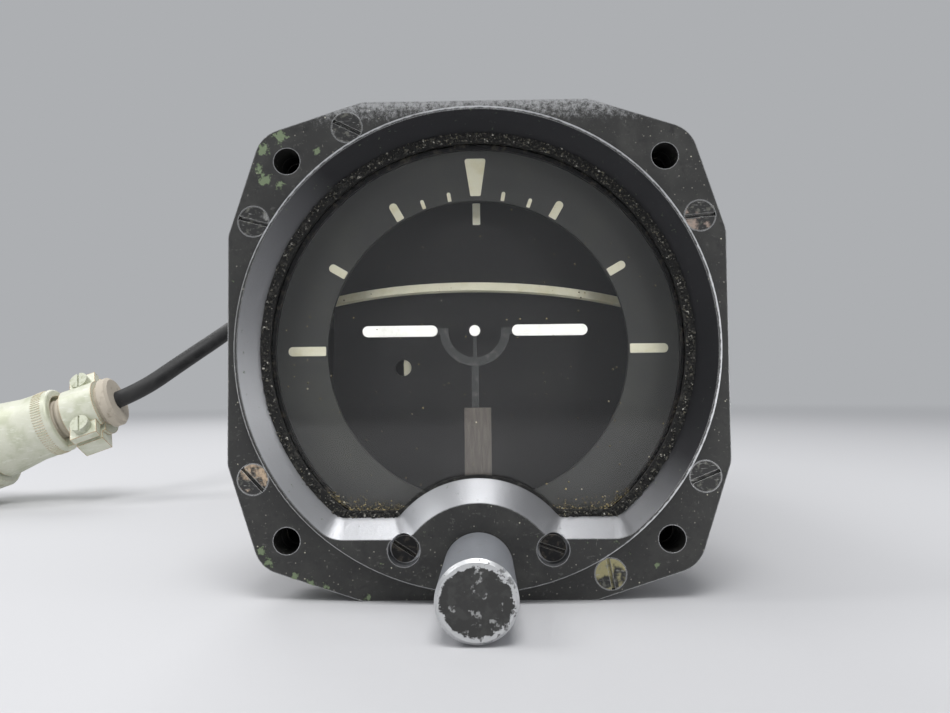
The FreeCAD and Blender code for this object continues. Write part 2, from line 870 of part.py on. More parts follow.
def make_bezel():
    """Casting with the flange, the raised disc, the bevelled window and the glass pocket."""
    bezel = Piece("bezel_casting")
    bezel.pad("front", 0, s.bezel_thick, flange_outline())
    round_flange(bezel)
    bezel.pad("front", -s.disc_rise, s.disc_rise, circle(0, 0, s.disc_r))
    bezel.pocket("front", 0, s.bezel_thick, *bolt_circles())
    bezel.pocket("front", 0, s.rim_head_deep, *rim_circles(s.rim_head_r + s.head_gap))
    bezel.pocket("front", s.rim_head_deep, s.bezel_thick - s.rim_head_deep, *rim_circles(s.rim_shank_r))
    pocket_deep = s.bezel_thick - s.glass_ledge
    bezel.pocket("front", s.glass_ledge, pocket_deep, segment(s.glass_pocket_r, s.glass_pocket_chord))
    through = s.bezel_thick + s.disc_rise
    bezel.pocket("front", -s.disc_rise, through, circle(0, -s.knob_drop, s.bush_r))
    deep = s.face_counterbore_deep
    bezel.pocket("front", -s.disc_rise, deep, *face_circles(s.face_counterbore_r))
    bezel.pocket("front", deep - s.disc_rise, through - deep, *face_circles(s.face_shank_r))
    window = shaped("window_hollow", bevelled_window())
    node("bezel", cut("bezel", bezel.body, window))


def make_glass():
    """Gasket, glass and retaining ring, stacked behind the bezel's ledge."""
    seat_r = s.glass_pocket_r - s.glass_gap
    seat_chord = s.glass_pocket_chord - s.glass_gap
    gasket = Piece("gasket_blank")
    gasket.pad("front", s.glass_ledge, s.gasket_thick, segment(seat_r, seat_chord))
    clear = [s.gasket_in_r, s.gasket_chord, s.gasket_arch_r, s.corner_back_r, s.arch_foot_back_r]
    numbers = [size.value for size in clear]
    wires = [window_wire(y, *numbers) for y in (0.0, s.bezel_thick.value)]
    opening = shaped("gasket_opening", Part.makeLoft(wires, True, True))
    node("glass_gasket", cut("glass_gasket", gasket.body, opening))

    glass = Piece("cover_glass")
    front = s.glass_ledge + s.gasket_thick
    glass.pad("front", front, s.glass_thick, segment(seat_r, seat_chord))
    node("cover_glass", glass)

    ring = Piece("glass_retainer")
    back = front + s.glass_thick
    ring.pad("front", back, s.bezel_thick - back, segment(seat_r, seat_chord))
    inner = segment(seat_r - s.retainer_width, seat_chord - s.retainer_width)
    ring.pocket("front", back, s.bezel_thick - back, inner)
    node("glass_retainer", ring)


def make_front_screws():
    """Six flush screws round the flange, and the two sunk ones that hold the knob's gear plate."""
    rims = []
    for number, (angle, slot) in enumerate(RIM_SCREWS):
        x = s.rim_screw_circle_r * cosine(angle)
        z = s.rim_screw_circle_r * sine(angle)
        end = s.bezel_thick + s.case_flange_thick
        sizes = (s.rim_head_r, s.rim_head_deep, s.rim_shank_r, end)
        rims.append(slotted_screw("rim_screw_%d" % number, x, z, as_size(0), slot, *sizes))
    node("flange_screws", group("flange_screws", rims))

    faces = []
    floor = s.face_counterbore_deep - s.disc_rise
    for number, (side, slot) in enumerate(FACE_SCREWS):
        end = s.bezel_thick + s.base_thick
        sizes = (s.face_head_r, s.face_head_tall, s.face_shank_r, end)
        face = floor - s.face_head_tall
        x = s.face_screw_x * side
        name = "face_screw_%d" % number
        faces.append(slotted_screw(name, x, -s.face_screw_drop, face, slot, *sizes))
    node("gear_plate_screws", group("gear_plate_screws", faces))


# ---------------------------------------------------------------------------------------------------
# case, rear cover and mask dial


def cover_circles(radius):
    """A circle at each rear cover screw."""
    ring = s.case_r - (s.case_wall + s.rim_wide) / 2
    count = SIZES["cover_screw_count"]
    return [
        circle(ring * cosine(360 * n / count), ring * sine(360 * n / count), radius) for n in range(count)
    ]


def make_case():
    """Tubular case with its own flange, and ledges for the mask, the bulkhead and the cover."""
    case = Piece("instrument_case")
    case.pad("front", s.bezel_thick, s.case_flange_thick, flange_outline())
    round_flange(case)
    case.pad("front", s.bezel_thick, s.case_back - s.bezel_thick, circle(0, 0, s.case_r))
    case.pocket("front", s.bezel_thick, s.case_back - s.bezel_thick, circle(0, 0, BORE_R))
    case.pad("front", MASK_BACK, s.mask_ledge_thick, circle(0, 0, s.case_r),
             circle(0, 0, BORE_R - s.mask_ledge_wide))
    case.pad("front", s.bulkhead_back, s.bulkhead_ledge_thick, circle(0, 0, s.case_r),
             circle(0, 0, BORE_R - s.bulkhead_ledge_wide))
    case.pad("front", s.case_back - s.rim_deep, s.rim_deep, circle(0, 0, s.case_r),
             circle(0, 0, BORE_R - s.rim_wide))
    case.pocket("front", s.bezel_thick, s.case_flange_thick, *bolt_circles())
    case.pocket("front", s.bezel_thick, s.case_flange_thick, *rim_circles(s.rim_shank_r))
    notch = rectangle(-s.gear_notch_half, s.gear_notch_half, -s.gear_notch_drop, -s.tongue_foot)
    case.pocket("front", s.bezel_thick, s.case_flange_thick, notch)
    case.pocket("front", s.case_back - s.rim_deep, s.rim_deep, *cover_circles(s.cover_screw_r))
    node("instrument_case", case)


def make_rear_cover():
    """Rear cover with the hole for the cable gland, and its six screws."""
    cover = Piece("rear_cover")
    back = s.case_back + s.cover_thick
    edge = s.cover_thick / 3
    cover.turn("Y", (s.case_back, 0), (s.case_back, s.case_r), (back - edge, s.case_r),
               (back, s.case_r - edge), (back, 0))
    cover.pocket("front", s.case_back, s.cover_thick, circle(s.gland_x, s.gland_z, s.cable_r))
    cover.pocket("front", s.case_back, s.cover_thick, *cover_circles(s.cover_screw_r))
    node("rear_cover", cover)

    screws = Piece("rear_cover_screws")
    length = s.cover_thick + s.rim_deep
    screws.pad("front", s.case_back - s.rim_deep, length, *cover_circles(s.cover_screw_r))
    screws.pad("front", back, s.cover_head_tall, *cover_circles(s.cover_head_r))
    node("rear_cover_screws", screws)


def make_mask():
    """Fixed ring that carries the bank marks, and the snap ring that holds it on its ledge."""
    mask = Piece("mask_dial")
    outer = BORE_R - s.mask_gap
    mask.pad("front", s.mask_front, s.mask_thick, circle(0, 0, outer), circle(0, 0, s.mask_in_r))
    node("mask_dial", mask)

    ring = Piece("mask_snap_ring")
    front = s.mask_front - s.snap_ring_thick
    ring.pad("front", front, s.snap_ring_thick, circle(0, 0, BORE_R),
             circle(0, 0, BORE_R - s.snap_ring_wide))
    node("mask_snap_ring", ring)


# ---------------------------------------------------------------------------------------------------
# knob, gears, rack and miniature airplane

PITCH_R = s.gear_module * s.gear_teeth / 2
ADDENDUM = 0.85
DEDENDUM = 1.25
PRESSURE_ANGLE = 20
IDLER_RISE = root(PITCH_R * PITCH_R * 4 - s.idler_aside * s.idler_aside)
IDLER_Z = IDLER_RISE - s.knob_drop


def involute_point(base_r, radius):
    """Polar angle, in radians, that an involute has swept where it reaches a radius."""
    if radius <= base_r:
        return 0.0
    ratio = math.sqrt((radius / base_r) ** 2 - 1)
    return ratio - math.atan(ratio)


def gear_solid(first_tooth, bore, front, thick):
    """Spur gear with involute flanks, centred on the Y axis, one tooth at the given angle."""
    module = s.gear_module.value
    teeth = SIZES["gear_teeth"]
    pitch_r = module * teeth / 2
    base_r = pitch_r * math.cos(math.radians(PRESSURE_ANGLE))
    root_r = pitch_r - DEDENDUM * module
    tip_r = pitch_r + ADDENDUM * module
    thin = s.gear_backlash.value / 2 / pitch_r
    half = math.pi / 2 / teeth - thin / 2 + involute_point(base_r, pitch_r)

    def polar(radius, angle):
        return Vector(radius * math.cos(angle), front.value, radius * math.sin(angle))

    edges = []
    step = 2 * math.pi / teeth
    for tooth in range(teeth):
        centre = math.radians(first_tooth) + tooth * step
        rises = [polar(root_r, centre - half)]
        falls = []
        for radius in (base_r, (base_r + tip_r) / 2, tip_r):
            swept = involute_point(base_r, radius)
            rises.append(polar(radius, centre - half + swept))
            falls.append(polar(radius, centre + half - swept))
        falls = falls[::-1] + [polar(root_r, centre + half)]
        edges.append(Part.LineSegment(rises[0], rises[1]).toShape())
        edges.append(Part.Arc(rises[1], rises[2], rises[3]).toShape())
        edges.append(Part.Arc(rises[3], polar(tip_r, centre), falls[0]).toShape())
        edges.append(Part.Arc(falls[0], falls[1], falls[2]).toShape())
        edges.append(Part.LineSegment(falls[2], falls[3]).toShape())
        following = polar(root_r, centre + step - half)
        edges.append(Part.Arc(falls[3], polar(root_r, centre + step / 2), following).toShape())
    blank = Part.Face(Part.Wire(edges)).extrude(Vector(0, thick.value, 0))
    hole = Part.makeCylinder(bore.value, thick.value, Vector(0, front.value, 0), Vector(0, 1, 0))
    return blank.cut(hole)


# Angle of the line from the knob gear to the idler, and the idler's tooth nearest to the rack.
MESH_ANGLE = math.degrees(math.atan2(IDLER_RISE.value, -s.idler_aside.value))
TOOTH_STEP = 360.0 / SIZES["gear_teeth"]
IDLER_TOOTH = (MESH_ANGLE + 180 + TOOTH_STEP / 2) % TOOTH_STEP


def make_knob():
    """Knob with its set screw, on a shaft that turns in the bezel's bush and carries a gear."""
    base = -s.disc_rise - s.knob_gap
    front = base - s.knob_long
    bore_end = base - s.knob_bore_deep
    screw_at = base - s.set_screw_back
    knob = Piece("adjust_knob")
    knob.turn("Y", (base, s.knob_shaft_r), (base, s.knob_base_r), (front + s.knob_edge, s.knob_front_r),
              (front, s.knob_front_r - s.knob_edge), (front, 0), (bore_end, 0), (bore_end, s.knob_shaft_r))
    knob.pocket("top", -s.knob_front_r, s.knob_front_r - s.knob_shaft_r / 2,
                circle(0, screw_at, s.set_screw_r))
    at_knob = moved(0, 0, -s.knob_drop.value)
    node("adjust_knob", knob, at_knob)

    length = s.knob_base_r - s.knob_shaft_r - 0.5
    at = (0, screw_at, -s.knob_drop - s.knob_shaft_r - length)
    node("knob_set_screw", rod("knob_set_screw", "Z", at, s.set_screw_r, length))

    shaft_long = GEAR_BACK - bore_end
    node("knob_shaft", rod("knob_shaft", "Y", (0, bore_end, -s.knob_drop), s.knob_shaft_r, shaft_long))

    bush_at = (0, -s.disc_rise, -s.knob_drop)
    bush_long = s.disc_rise + s.bezel_thick
    bush = tube("knob_bushing", "Y", bush_at, s.knob_shaft_r + s.shaft_gap, s.bush_r, bush_long)
    node("knob_bushing", bush)

    gear = gear_solid(MESH_ANGLE, s.knob_shaft_r, GEAR_FRONT, s.gear_thick)
    node("knob_gear", shaped("knob_gear", gear), at_knob)

    bore = s.idler_pin_r + s.shaft_gap
    idler = gear_solid(IDLER_TOOTH, bore, GEAR_FRONT, s.idler_thick)
    node("idler_gear", shaped("idler_gear", idler), moved(-s.idler_aside.value, 0, IDLER_Z.value))

    pin = Piece("idler_pin")
    head = IDLER_BACK + s.shaft_gap * 2
    pin.turn("Y", (s.bezel_thick, 0), (s.bezel_thick, s.idler_pin_r), (head, s.idler_pin_r),
             (head, s.idler_head_r), (head + 0.4, s.idler_head_r), (head + 0.4, 0))
    node("idler_pin", pin, moved(-s.idler_aside.value, 0, IDLER_Z.value))


def make_gear_plate():
    """Plate behind the knob that carries the idler, with a tongue up the dial before the slide."""
    plate = Piece("gear_plate")
    top = -s.glass_pocket_chord
    reach = BORE_R - s.plate_gap
    right = [
        (s.plate_low_half, -root(reach * reach - s.plate_low_half * s.plate_low_half)),
        (s.plate_half, -root(reach * reach - s.plate_half * s.plate_half)),
        (s.plate_half, top),
        (s.plate_neck_half, top),
        (s.plate_neck_half, -s.tongue_foot - s.plate_neck_long),
        (s.tongue_half, -s.tongue_foot),
        (s.tongue_half, -s.tongue_top),
    ]
    left = [(-x, z) for x, z in reversed(right)]
    plate.pad("front", s.bezel_thick, s.base_thick, polygon(*(right + left)))
    plate.pocket("front", s.bezel_thick, s.base_thick, circle(0, -s.knob_drop, s.knob_shaft_r + 0.25),
                 circle(-s.idler_aside, IDLER_Z, s.idler_pin_r), *face_circles(s.face_shank_r))
    node("gear_plate", plate)

    guide = Piece("symbol_guide")
    wall_in = s.tongue_half - s.guide_wall
    back = GUIDE_BACK - s.guide_back_thick
    low = -s.tongue_foot
    high = -s.tongue_top - 1
    for side in (-1, 1):
        edges = sorted((wall_in * side, s.tongue_half * side), key=lambda size: size.value)
        guide.pad("front", BASE_BACK, back - BASE_BACK, rectangle(*edges, low, high))
    guide.pad("front", back, s.guide_back_thick, rectangle(-s.tongue_half, s.tongue_half, low, high))
    node("symbol_guide", guide)


def rack_solid():
    """Slide with a toothed edge that meshes with the idler, and wider where the guide holds it."""
    module = s.gear_module.value
    pitch = math.pi * module
    line = PITCH_R.value - s.idler_aside.value
    lean = math.tan(math.radians(PRESSURE_ANGLE))
    tip = line - ADDENDUM * module
    bottom = line + DEDENDUM * module
    gap_z = IDLER_Z.value + PITCH_R.value * math.radians(IDLER_TOOTH)
    half = pitch / 4 - s.gear_backlash.value / 4
    below = int(s.symbol_travel_up.value / pitch) + 2
    above = int(s.symbol_travel_down.value / pitch) + 2
    points = []
    for tooth in range(-below, above):
        centre = gap_z + (tooth + 0.5) * pitch
        wide = half + DEDENDUM * module * lean
        thin = half - ADDENDUM * module * lean
        points += [(bottom, centre - wide), (tip, centre - thin)]
        points += [(tip, centre + thin), (bottom, centre + wide)]
    low = points[0][1]
    half_wide = s.slide_half.value
    top = -s.slide_top.value
    shoulder = -s.slide_shoulder.value
    points += [(bottom, shoulder), (-half_wide, shoulder), (-half_wide, top)]
    points += [(half_wide, top), (half_wide, low)]
    corners = [Vector(x, SLIDE_FRONT.value, z) for x, z in points]
    face = Part.Face(Part.makePolygon(corners + corners[:1]))
    return face.extrude(Vector(0, s.slide_thick.value, 0))


def make_symbol():
    """Miniature airplane: two wing bars and a dot on a thin bracket, on the toothed slide."""
    node("symbol_slide", shaped("symbol_slide", rack_solid()))

    x = s.symbol_x
    z = s.symbol_z
    half_band = s.bracket_band / 2
    outer = s.bracket_r + half_band
    inner = s.bracket_r - half_band
    front = SLIDE_FRONT - s.bracket_thick
    bracket = Piece("symbol_bracket")
    bracket.pad("front", front, s.bracket_thick, circle(x, z, outer), circle(x, z, inner))
    bracket.pocket("front", front, s.bracket_thick, rectangle(x - outer - 1, x + outer + 1, z, z + outer + 1))
    half_stem = s.stem_wide / 2
    half_needle = s.needle_wide / 2
    bracket.pad("front", front, s.bracket_thick,
                rectangle(x - half_stem, x + half_stem, -s.slide_top - 2, z - s.bracket_r))
    bracket.pad("front", front, s.bracket_thick, rectangle(x - half_needle, x + half_needle, z - s.bracket_r, z))
    for side in (-1, 1):
        ends = sorted((x + inner * side, x + (s.wing_outer - 3) * side), key=lambda size: size.value)
        bracket.pad("front", front, s.bracket_thick, rectangle(*ends, z - 0.5, z + 0.5))
    node("symbol_bracket", bracket)

    wings = Piece("symbol_wings")
    wing_front = front - s.wing_thick
    for side in (-1, 1):
        r = s.wing_half_tall
        ends = sorted((x + (s.wing_inner + r) * side, x + (s.wing_outer - r) * side), key=lambda size: size.value)
        wings.pad("front", wing_front, s.wing_thick, rectangle(*ends, z - r, z + r))
        for end in ends:
            wings.pad("front", wing_front, s.wing_thick, circle(end, z, r))
    node("symbol_wings", wings)
    node("symbol_dot", rod("symbol_dot", "Y", (x, wing_front, z), s.dot_r, s.wing_thick))


# ---------------------------------------------------------------------------------------------------
# roll gimbal and what it turns on

def make_gimbal():
    """U-shaped gimbal: two side plates, tabs for the sky disk and a back plate for the spindle."""
    frame = Piece("gimbal_frame")
    wide = s.gimbal_half_wide
    tab_in = wide - s.gimbal_tab
    tab_back = DISK_BACK + s.gimbal_tab_thick
    plate = GIMBAL_PLATE
    frame.pad("top", 0, s.gimbal_half_tall * 2, polygon(
        (-wide, DISK_BACK), (-tab_in, DISK_BACK), (-tab_in, tab_back), (-GIMBAL_IN, tab_back),
        (-GIMBAL_IN, plate), (GIMBAL_IN, plate), (GIMBAL_IN, tab_back), (tab_in, tab_back),
        (tab_in, DISK_BACK), (wide, DISK_BACK), (wide, s.gimbal_back), (-wide, s.gimbal_back),
    ), both=True)
    nose = s.gimbal_nose_half_tall
    tall = s.gimbal_half_tall
    for up in (-1, 1):
        frame.pocket("side", 0, wide * 2, polygon(
            (DISK_BACK, nose * up), (DISK_BACK + s.gimbal_nose_long, tall * up), (DISK_BACK, tall * up),
        ), both=True)
    edge = s.gimbal_window_edge
    window = rectangle(ARM_PIVOT + edge, plate - edge, edge - tall, tall - edge)
    frame.pocket("side", 0, wide * 2, window, both=True)
    frame.pocket("side", 0, wide * 2, circle(s.pitch_axis, 0, s.pitch_bearing_r), both=True)
    frame.pocket("side", -wide, s.gimbal_wall, circle(ARM_PIVOT, 0, s.pivot_thread_r))
    frame.pocket("front", plate, s.gimbal_back_thick, circle(0, 0, s.spindle_r))
    node("roll_gimbal", cut("roll_gimbal", frame.body, drive_slot()), ROLLED)

    disk = Piece("sky_disk")
    disk.pad("front", s.disk_front, s.disk_thick, circle(0, 0, s.disk_r))
    flat = rectangle(-s.disk_r - 1, -s.disk_flat, -s.disk_r, s.disk_r)
    disk.pocket("front", s.disk_front, s.disk_thick, flat)
    disk.pocket("front", s.disk_front, s.disk_thick, circle(s.disk_hole_x, s.disk_hole_z, s.disk_hole_r))
    node("sky_disk", disk, ROLLED)

    long = s.gimbal_weight_long
    at = (wide, s.pitch_axis + s.gimbal_weight_set, long / -2)
    weight = block("gimbal_weight", at, s.gimbal_weight_thick, long, long)
    node("gimbal_counterweight", group("gimbal_counterweight", [weight]), ROLLED)

    rings = [
        tube("pitch_bearing_%d" % n, "X", (start, s.pitch_axis, 0), s.trunnion_r + s.shaft_gap,
             s.pitch_bearing_r, s.gimbal_wall)
        for n, start in enumerate((-wide, GIMBAL_IN))
    ]
    node("pitch_bearings", group("pitch_bearings", rings), ROLLED)

    screw = Piece("arm_pivot_screw")
    arm_out = s.arm_inner + s.arm_thick + s.pivot_gap
    arm_in = s.arm_inner - s.pivot_gap
    head = arm_out + 1
    screw.turn("X", (-head, 0), (-head, s.pivot_head_r), (-arm_out, s.pivot_head_r),
               (-arm_out, s.pivot_shoulder_r), (-arm_in, s.pivot_shoulder_r), (-arm_in, s.pivot_step_r),
               (-wide, s.pivot_step_r), (-wide, s.pivot_thread_r), (-GIMBAL_IN, s.pivot_thread_r),
               (-GIMBAL_IN, 0))
    node("arm_pivot_screw", screw, ROLLED * AT_PIVOT)


def drive_slot():
    """Curved slot in the left plate, through which the housing's pin reaches the horizon arm."""
    reach = s.pitch_travel + 10
    start = -s.gimbal_half_wide - 1
    deep = s.gimbal_wall + 2
    sector = Rotation(Vector(0, 1, 0), 90)
    outer = primitive("Cylinder", "slot_outer", sector, (start, s.pitch_axis, 0),
                      Radius=s.drive_radius + s.drive_slot_half, Height=deep, Angle=reach * 2)
    inner = primitive("Cylinder", "slot_inner", sector, (start, s.pitch_axis, 0),
                      Radius=s.drive_radius - s.drive_slot_half, Height=deep, Angle=360)
    ring = cut("drive_slot_ring", outer, inner)
    holder = group("drive_slot", [ring])
    # The sector starts at -Z and opens towards +Y: turn its middle to -Y.
    spin = Placement(Vector(0, s.pitch_axis.value, 0), Rotation(Vector(1, 0, 0), SLOT_TURN))
    holder.Placement = spin * moved(0, -s.pitch_axis.value, 0)
    return holder


SLOT_TURN = -90 - (s.pitch_travel.value + 10)


def make_spindle():
    """Roll spindle with its slip rings, in two bearings in the bulkhead, and the brush block."""
    plate = GIMBAL_PLATE
    flange = s.gimbal_back + s.spindle_flange_thick
    spindle = Piece("roll_spindle")
    spindle.turn("Y", (plate, 0), (plate, s.spindle_r), (s.gimbal_back, s.spindle_r),
                 (s.gimbal_back, s.spindle_flange_r), (flange, s.spindle_flange_r), (flange, s.spindle_r),
                 (s.spindle_end, s.spindle_r), (s.spindle_end, 0))
    node("roll_spindle", spindle, ROLLED)

    rings = Piece("slip_rings")
    points = [(SLIP_START, s.spindle_r), (SLIP_START, s.slip_ring_r)]
    for n in range(1, SIZES["slip_ring_count"]):
        groove = SLIP_START + s.slip_ring_pitch * n
        floor = s.slip_ring_r - s.slip_groove
        half = s.slip_groove / 2
        points += [(groove - half, s.slip_ring_r), (groove - half, floor)]
        points += [(groove + half, floor), (groove + half, s.slip_ring_r)]
    points += [(SLIP_END, s.slip_ring_r), (SLIP_END, s.spindle_r)]
    rings.turn("Y", *points)
    node("slip_rings", rings, ROLLED)

    bulkhead = Piece("rear_bulkhead")
    front = s.bulkhead_back - s.bulkhead_thick
    outer = BORE_R - s.mask_gap
    seat_r = s.roll_bearing_r
    inner = seat_r - s.hub_lip
    first = s.hub_front + s.roll_bearing_thick
    second = s.hub_back - s.roll_bearing_thick
    bulkhead.turn("Y", (s.hub_front, seat_r), (s.hub_front, s.hub_r), (front, s.hub_r), (front, outer),
                  (s.bulkhead_back, outer), (s.bulkhead_back, s.hub_r), (s.hub_back, s.hub_r),
                  (s.hub_back, seat_r), (second, seat_r), (second, inner), (first, inner), (first, seat_r))
    window = circle(s.bulkhead_window_circle_r, 0, s.bulkhead_window_r)
    bulkhead.pocket("front", front, s.bulkhead_thick, window)
    bulkhead.around(s.bulkhead_window_count)
    node("rear_bulkhead", bulkhead)

    races = [
        tube("roll_bearing_%d" % n, "Y", (0, start, 0), s.spindle_r + s.shaft_gap, seat_r,
             s.roll_bearing_thick)
        for n, start in enumerate((s.hub_front, second))
    ]
    node("roll_bearings", group("roll_bearings", races))

    out = s.hub_r - s.brush_lap
    holder = block("brush_holder", (out, s.hub_back, -s.brush_half_tall), s.brush_wide,
                   SLIP_END - s.hub_back, s.brush_half_tall * 2)
    tip = s.slip_ring_r + s.brush_gap
    brushes = [
        block("brush_%d" % n, (tip, SLIP_START + s.slip_ring_pitch * (n + 0.5) - 0.3, -1),
              out - tip, 0.6, 2)
        for n in range(SIZES["slip_ring_count"])
    ]
    node("brush_block", fuse("brush_block", holder, *brushes))


# ---------------------------------------------------------------------------------------------------
# gyro housing, rotor and horizon bar


def make_housing():
    """Two-part gyro housing, built about its own spin axis and then set at its pitch."""
    r = s.housing_r
    wall = s.housing_wall
    half = s.housing_barrel_half
    tall = s.housing_half_tall
    end_r = s.housing_end_r
    split = s.housing_split
    rim = s.housing_rim_r
    rim_half = s.housing_rim_half
    floor = tall - wall
    end_in = end_r - wall / 3
    half_in = half - wall / 3
    bearing = s.rotor_bearing_r
    seat = floor - s.rotor_bearing_thick
    lower = Piece("gyro_housing_lower")
    lower.turn("Z", (-tall, 0), (-tall, end_r), (-half, r), (split - rim_half, r), (split - rim_half, rim),
               (split, rim), (split, r - wall), (-half_in, r - wall), (-floor, end_in), (-floor, s.post_r),
               (s.post_top, s.post_r), (s.post_top, s.rotor_shaft_r + 0.6),
               (-seat, s.rotor_shaft_r + 0.6), (-seat, bearing), (-floor, bearing), (-floor, 0))
    boss = circle(0, 0, s.housing_boss_r)
    boss_in = r - wall / 2
    boss_long = s.housing_boss_out - boss_in
    lower.pad("side", -s.housing_boss_out, boss_long, boss)
    lower.pad("side", boss_in, boss_long, boss)
    for start in (-s.housing_boss_out, boss_in):
        lower.pocket("side", start, boss_long, circle(0, 0, s.trunnion_r))
    pin_reach = root(r * r - s.drive_radius * s.drive_radius)
    pin_in = pin_reach - wall / 2
    lower.pad("side", -pin_reach - 2, 2 + wall / 2, circle(-s.drive_radius, 0, s.drive_pin_r * 2))
    lower.pocket("side", -pin_reach - 2, 2 + wall / 2, circle(-s.drive_radius, 0, s.drive_pin_r))
    node("gyro_housing_lower", lower, HOUSING)

    upper = Piece("gyro_housing_upper")
    upper.turn("Z", (split, r - wall), (split, rim), (split + rim_half, rim), (split + rim_half, r), (half, r),
               (tall, end_r), (tall, 0), (floor, 0), (floor, bearing), (seat, bearing),
               (seat, bearing + wall), (floor, bearing + wall), (floor, end_in), (half_in, r - wall))
    node("gyro_housing_upper", upper, HOUSING)

    journals = []
    for n, side in enumerate((-1, 1)):
        length = s.gimbal_half_wide - boss_in
        start = -s.gimbal_half_wide if side < 0 else boss_in
        journals.append(rod("trunnion_%d" % n, "X", (start, 0, 0), s.trunnion_r, length))
    node("pitch_trunnions", group("pitch_trunnions", journals), HOUSING)

    pin_out = s.arm_inner + s.arm_thick + 0.4
    pin = rod("drive_pin_rod", "X", (-pin_out, -s.drive_radius, 0), s.drive_pin_r, pin_out - pin_in)
    node("pitch_drive_pin", group("pitch_drive_pin", [pin]), HOUSING)

    bore = s.rotor_shaft_r + s.shaft_gap
    races = [
        tube("rotor_bearing_%d" % n, "Z", (0, 0, z), bore, bearing, s.rotor_bearing_thick)
        for n, z in enumerate((-floor, seat))
    ]
    node("rotor_bearings", group("rotor_bearings", races), HOUSING)

    stator = tube("stator_core", "Z", (0, 0, -s.stator_low), s.post_r, s.stator_r,
                  s.stator_low + s.stator_high)
    node("gyro_stator", group("gyro_stator", [stator]), HOUSING)

    web = s.rotor_high - s.rotor_web
    hub = s.rotor_hub_r
    rotor = Piece("gyro_rotor")
    low = web - s.rotor_hub_low
    top = s.rotor_high + s.rotor_hub_tall
    rotor.turn("Z", (low, s.rotor_shaft_r), (low, hub), (web, hub), (web, s.rotor_bore_r),
               (-s.rotor_low, s.rotor_bore_r), (-s.rotor_low, s.rotor_r), (s.rotor_high, s.rotor_r),
               (s.rotor_high, hub), (top, hub), (top, s.rotor_shaft_r))
    node("gyro_rotor", rotor, HOUSING)
    shaft = rod("rotor_shaft_rod", "Z", (0, 0, -floor + 0.3), s.rotor_shaft_r, floor * 2 - 0.6)
    node("rotor_shaft", group("rotor_shaft", [shaft]), HOUSING)


def make_horizon():
    """Curved horizon bar on a slotted arm with its counterweight, built level about its pivot."""
    out = s.arm_inner + s.arm_thick
    arm = Piece("horizon_arm")
    pin_at = -s.drive_radius * 2
    bar_centre = s.bar_front + s.bar_curve_r
    sag = root(s.bar_curve_r * s.bar_curve_r - s.arm_inner * s.arm_inner)
    nose = bar_centre - sag - 0.6 - ARM_PIVOT
    thin = s.arm_nose_half_tall
    tall = s.arm_half_tall
    wide = s.arm_slot_half_tall
    lobe_front = pin_at - s.arm_lobe_front
    lobe_back = pin_at + s.arm_lobe_back
    outline = [(nose, -thin), (lobe_front - s.arm_taper, -tall), (lobe_front, -wide), (lobe_back, -wide),
               (lobe_back + s.arm_taper, -tall), (s.arm_tail, -tall)]
    back = [(y, -z) for y, z in reversed(outline)]
    arm.pad("side", -out, s.arm_thick, polygon(*(outline + back)))
    arm.pad("side", -out, s.arm_thick, circle(0, 0, s.arm_pivot_boss_r))
    arm.pocket("side", -out, s.arm_thick, circle(0, 0, s.pivot_shoulder_r + s.shaft_gap))
    half = s.drive_pin_r + s.drive_gap
    slot = rectangle(pin_at - s.arm_slot_front, pin_at + s.arm_slot_back, -half, half)
    arm.pocket("side", -out, s.arm_thick, slot)
    node("horizon_arm", arm, ARM)

    centre = bar_centre - ARM_PIVOT
    at = (0, centre, s.bar_tall / -2)
    outer = rod("bar_outer", "Z", at, s.bar_curve_r, s.bar_tall)
    inner = rod("bar_inner", "Z", at, s.bar_curve_r - s.bar_deep, s.bar_tall)
    span = block("bar_span", (-s.arm_inner, s.bar_front - ARM_PIVOT - s.bar_deep, -s.bar_tall),
                 s.arm_inner + s.bar_right, s.bar_curve_r, s.bar_tall * 2)
    bar = common("bar_sector", cut("bar_ring", outer, inner), span)
    node("horizon_bar", group("horizon_bar", [bar]), ARM)

    start = -out - s.arm_weight_thick
    weight = rod("weight_rod", "X", (start, s.arm_tail, 0), s.arm_weight_r, s.arm_weight_thick)
    node("arm_counterweight", group("arm_counterweight", [weight]), ARM)


# ---------------------------------------------------------------------------------------------------
# cable and plug

PLUG_FACE = Vector(-115.1, 110.0, -9.8)
PLUG_DROP = 19.5
PLUG_SWING = 7.0
PLUG_ROLL = 37.5


def plug_placement():
    """Placement that takes the plug's own +Z along its axis and its +Y to the saddle's screw heads."""
    drop = math.radians(PLUG_DROP)
    swing = math.radians(PLUG_SWING)
    along = Vector(-math.cos(drop) * math.cos(swing), -math.cos(drop) * math.sin(swing), -math.sin(drop))
    level = Vector(math.sin(swing), -math.cos(swing), 0)
    upright = along.cross(level)
    if upright.z < 0:
        upright = -upright
    lean = math.radians(PLUG_ROLL)
    heads = upright * math.sin(lean) + level * math.cos(lean)
    across = heads.cross(along)
    return Placement(PLUG_FACE, Rotation(across, heads, along, "ZXY"))


PLUG = plug_placement()
PLUG_AXIS = PLUG.Rotation.multVec(Vector(0, 0, 1))

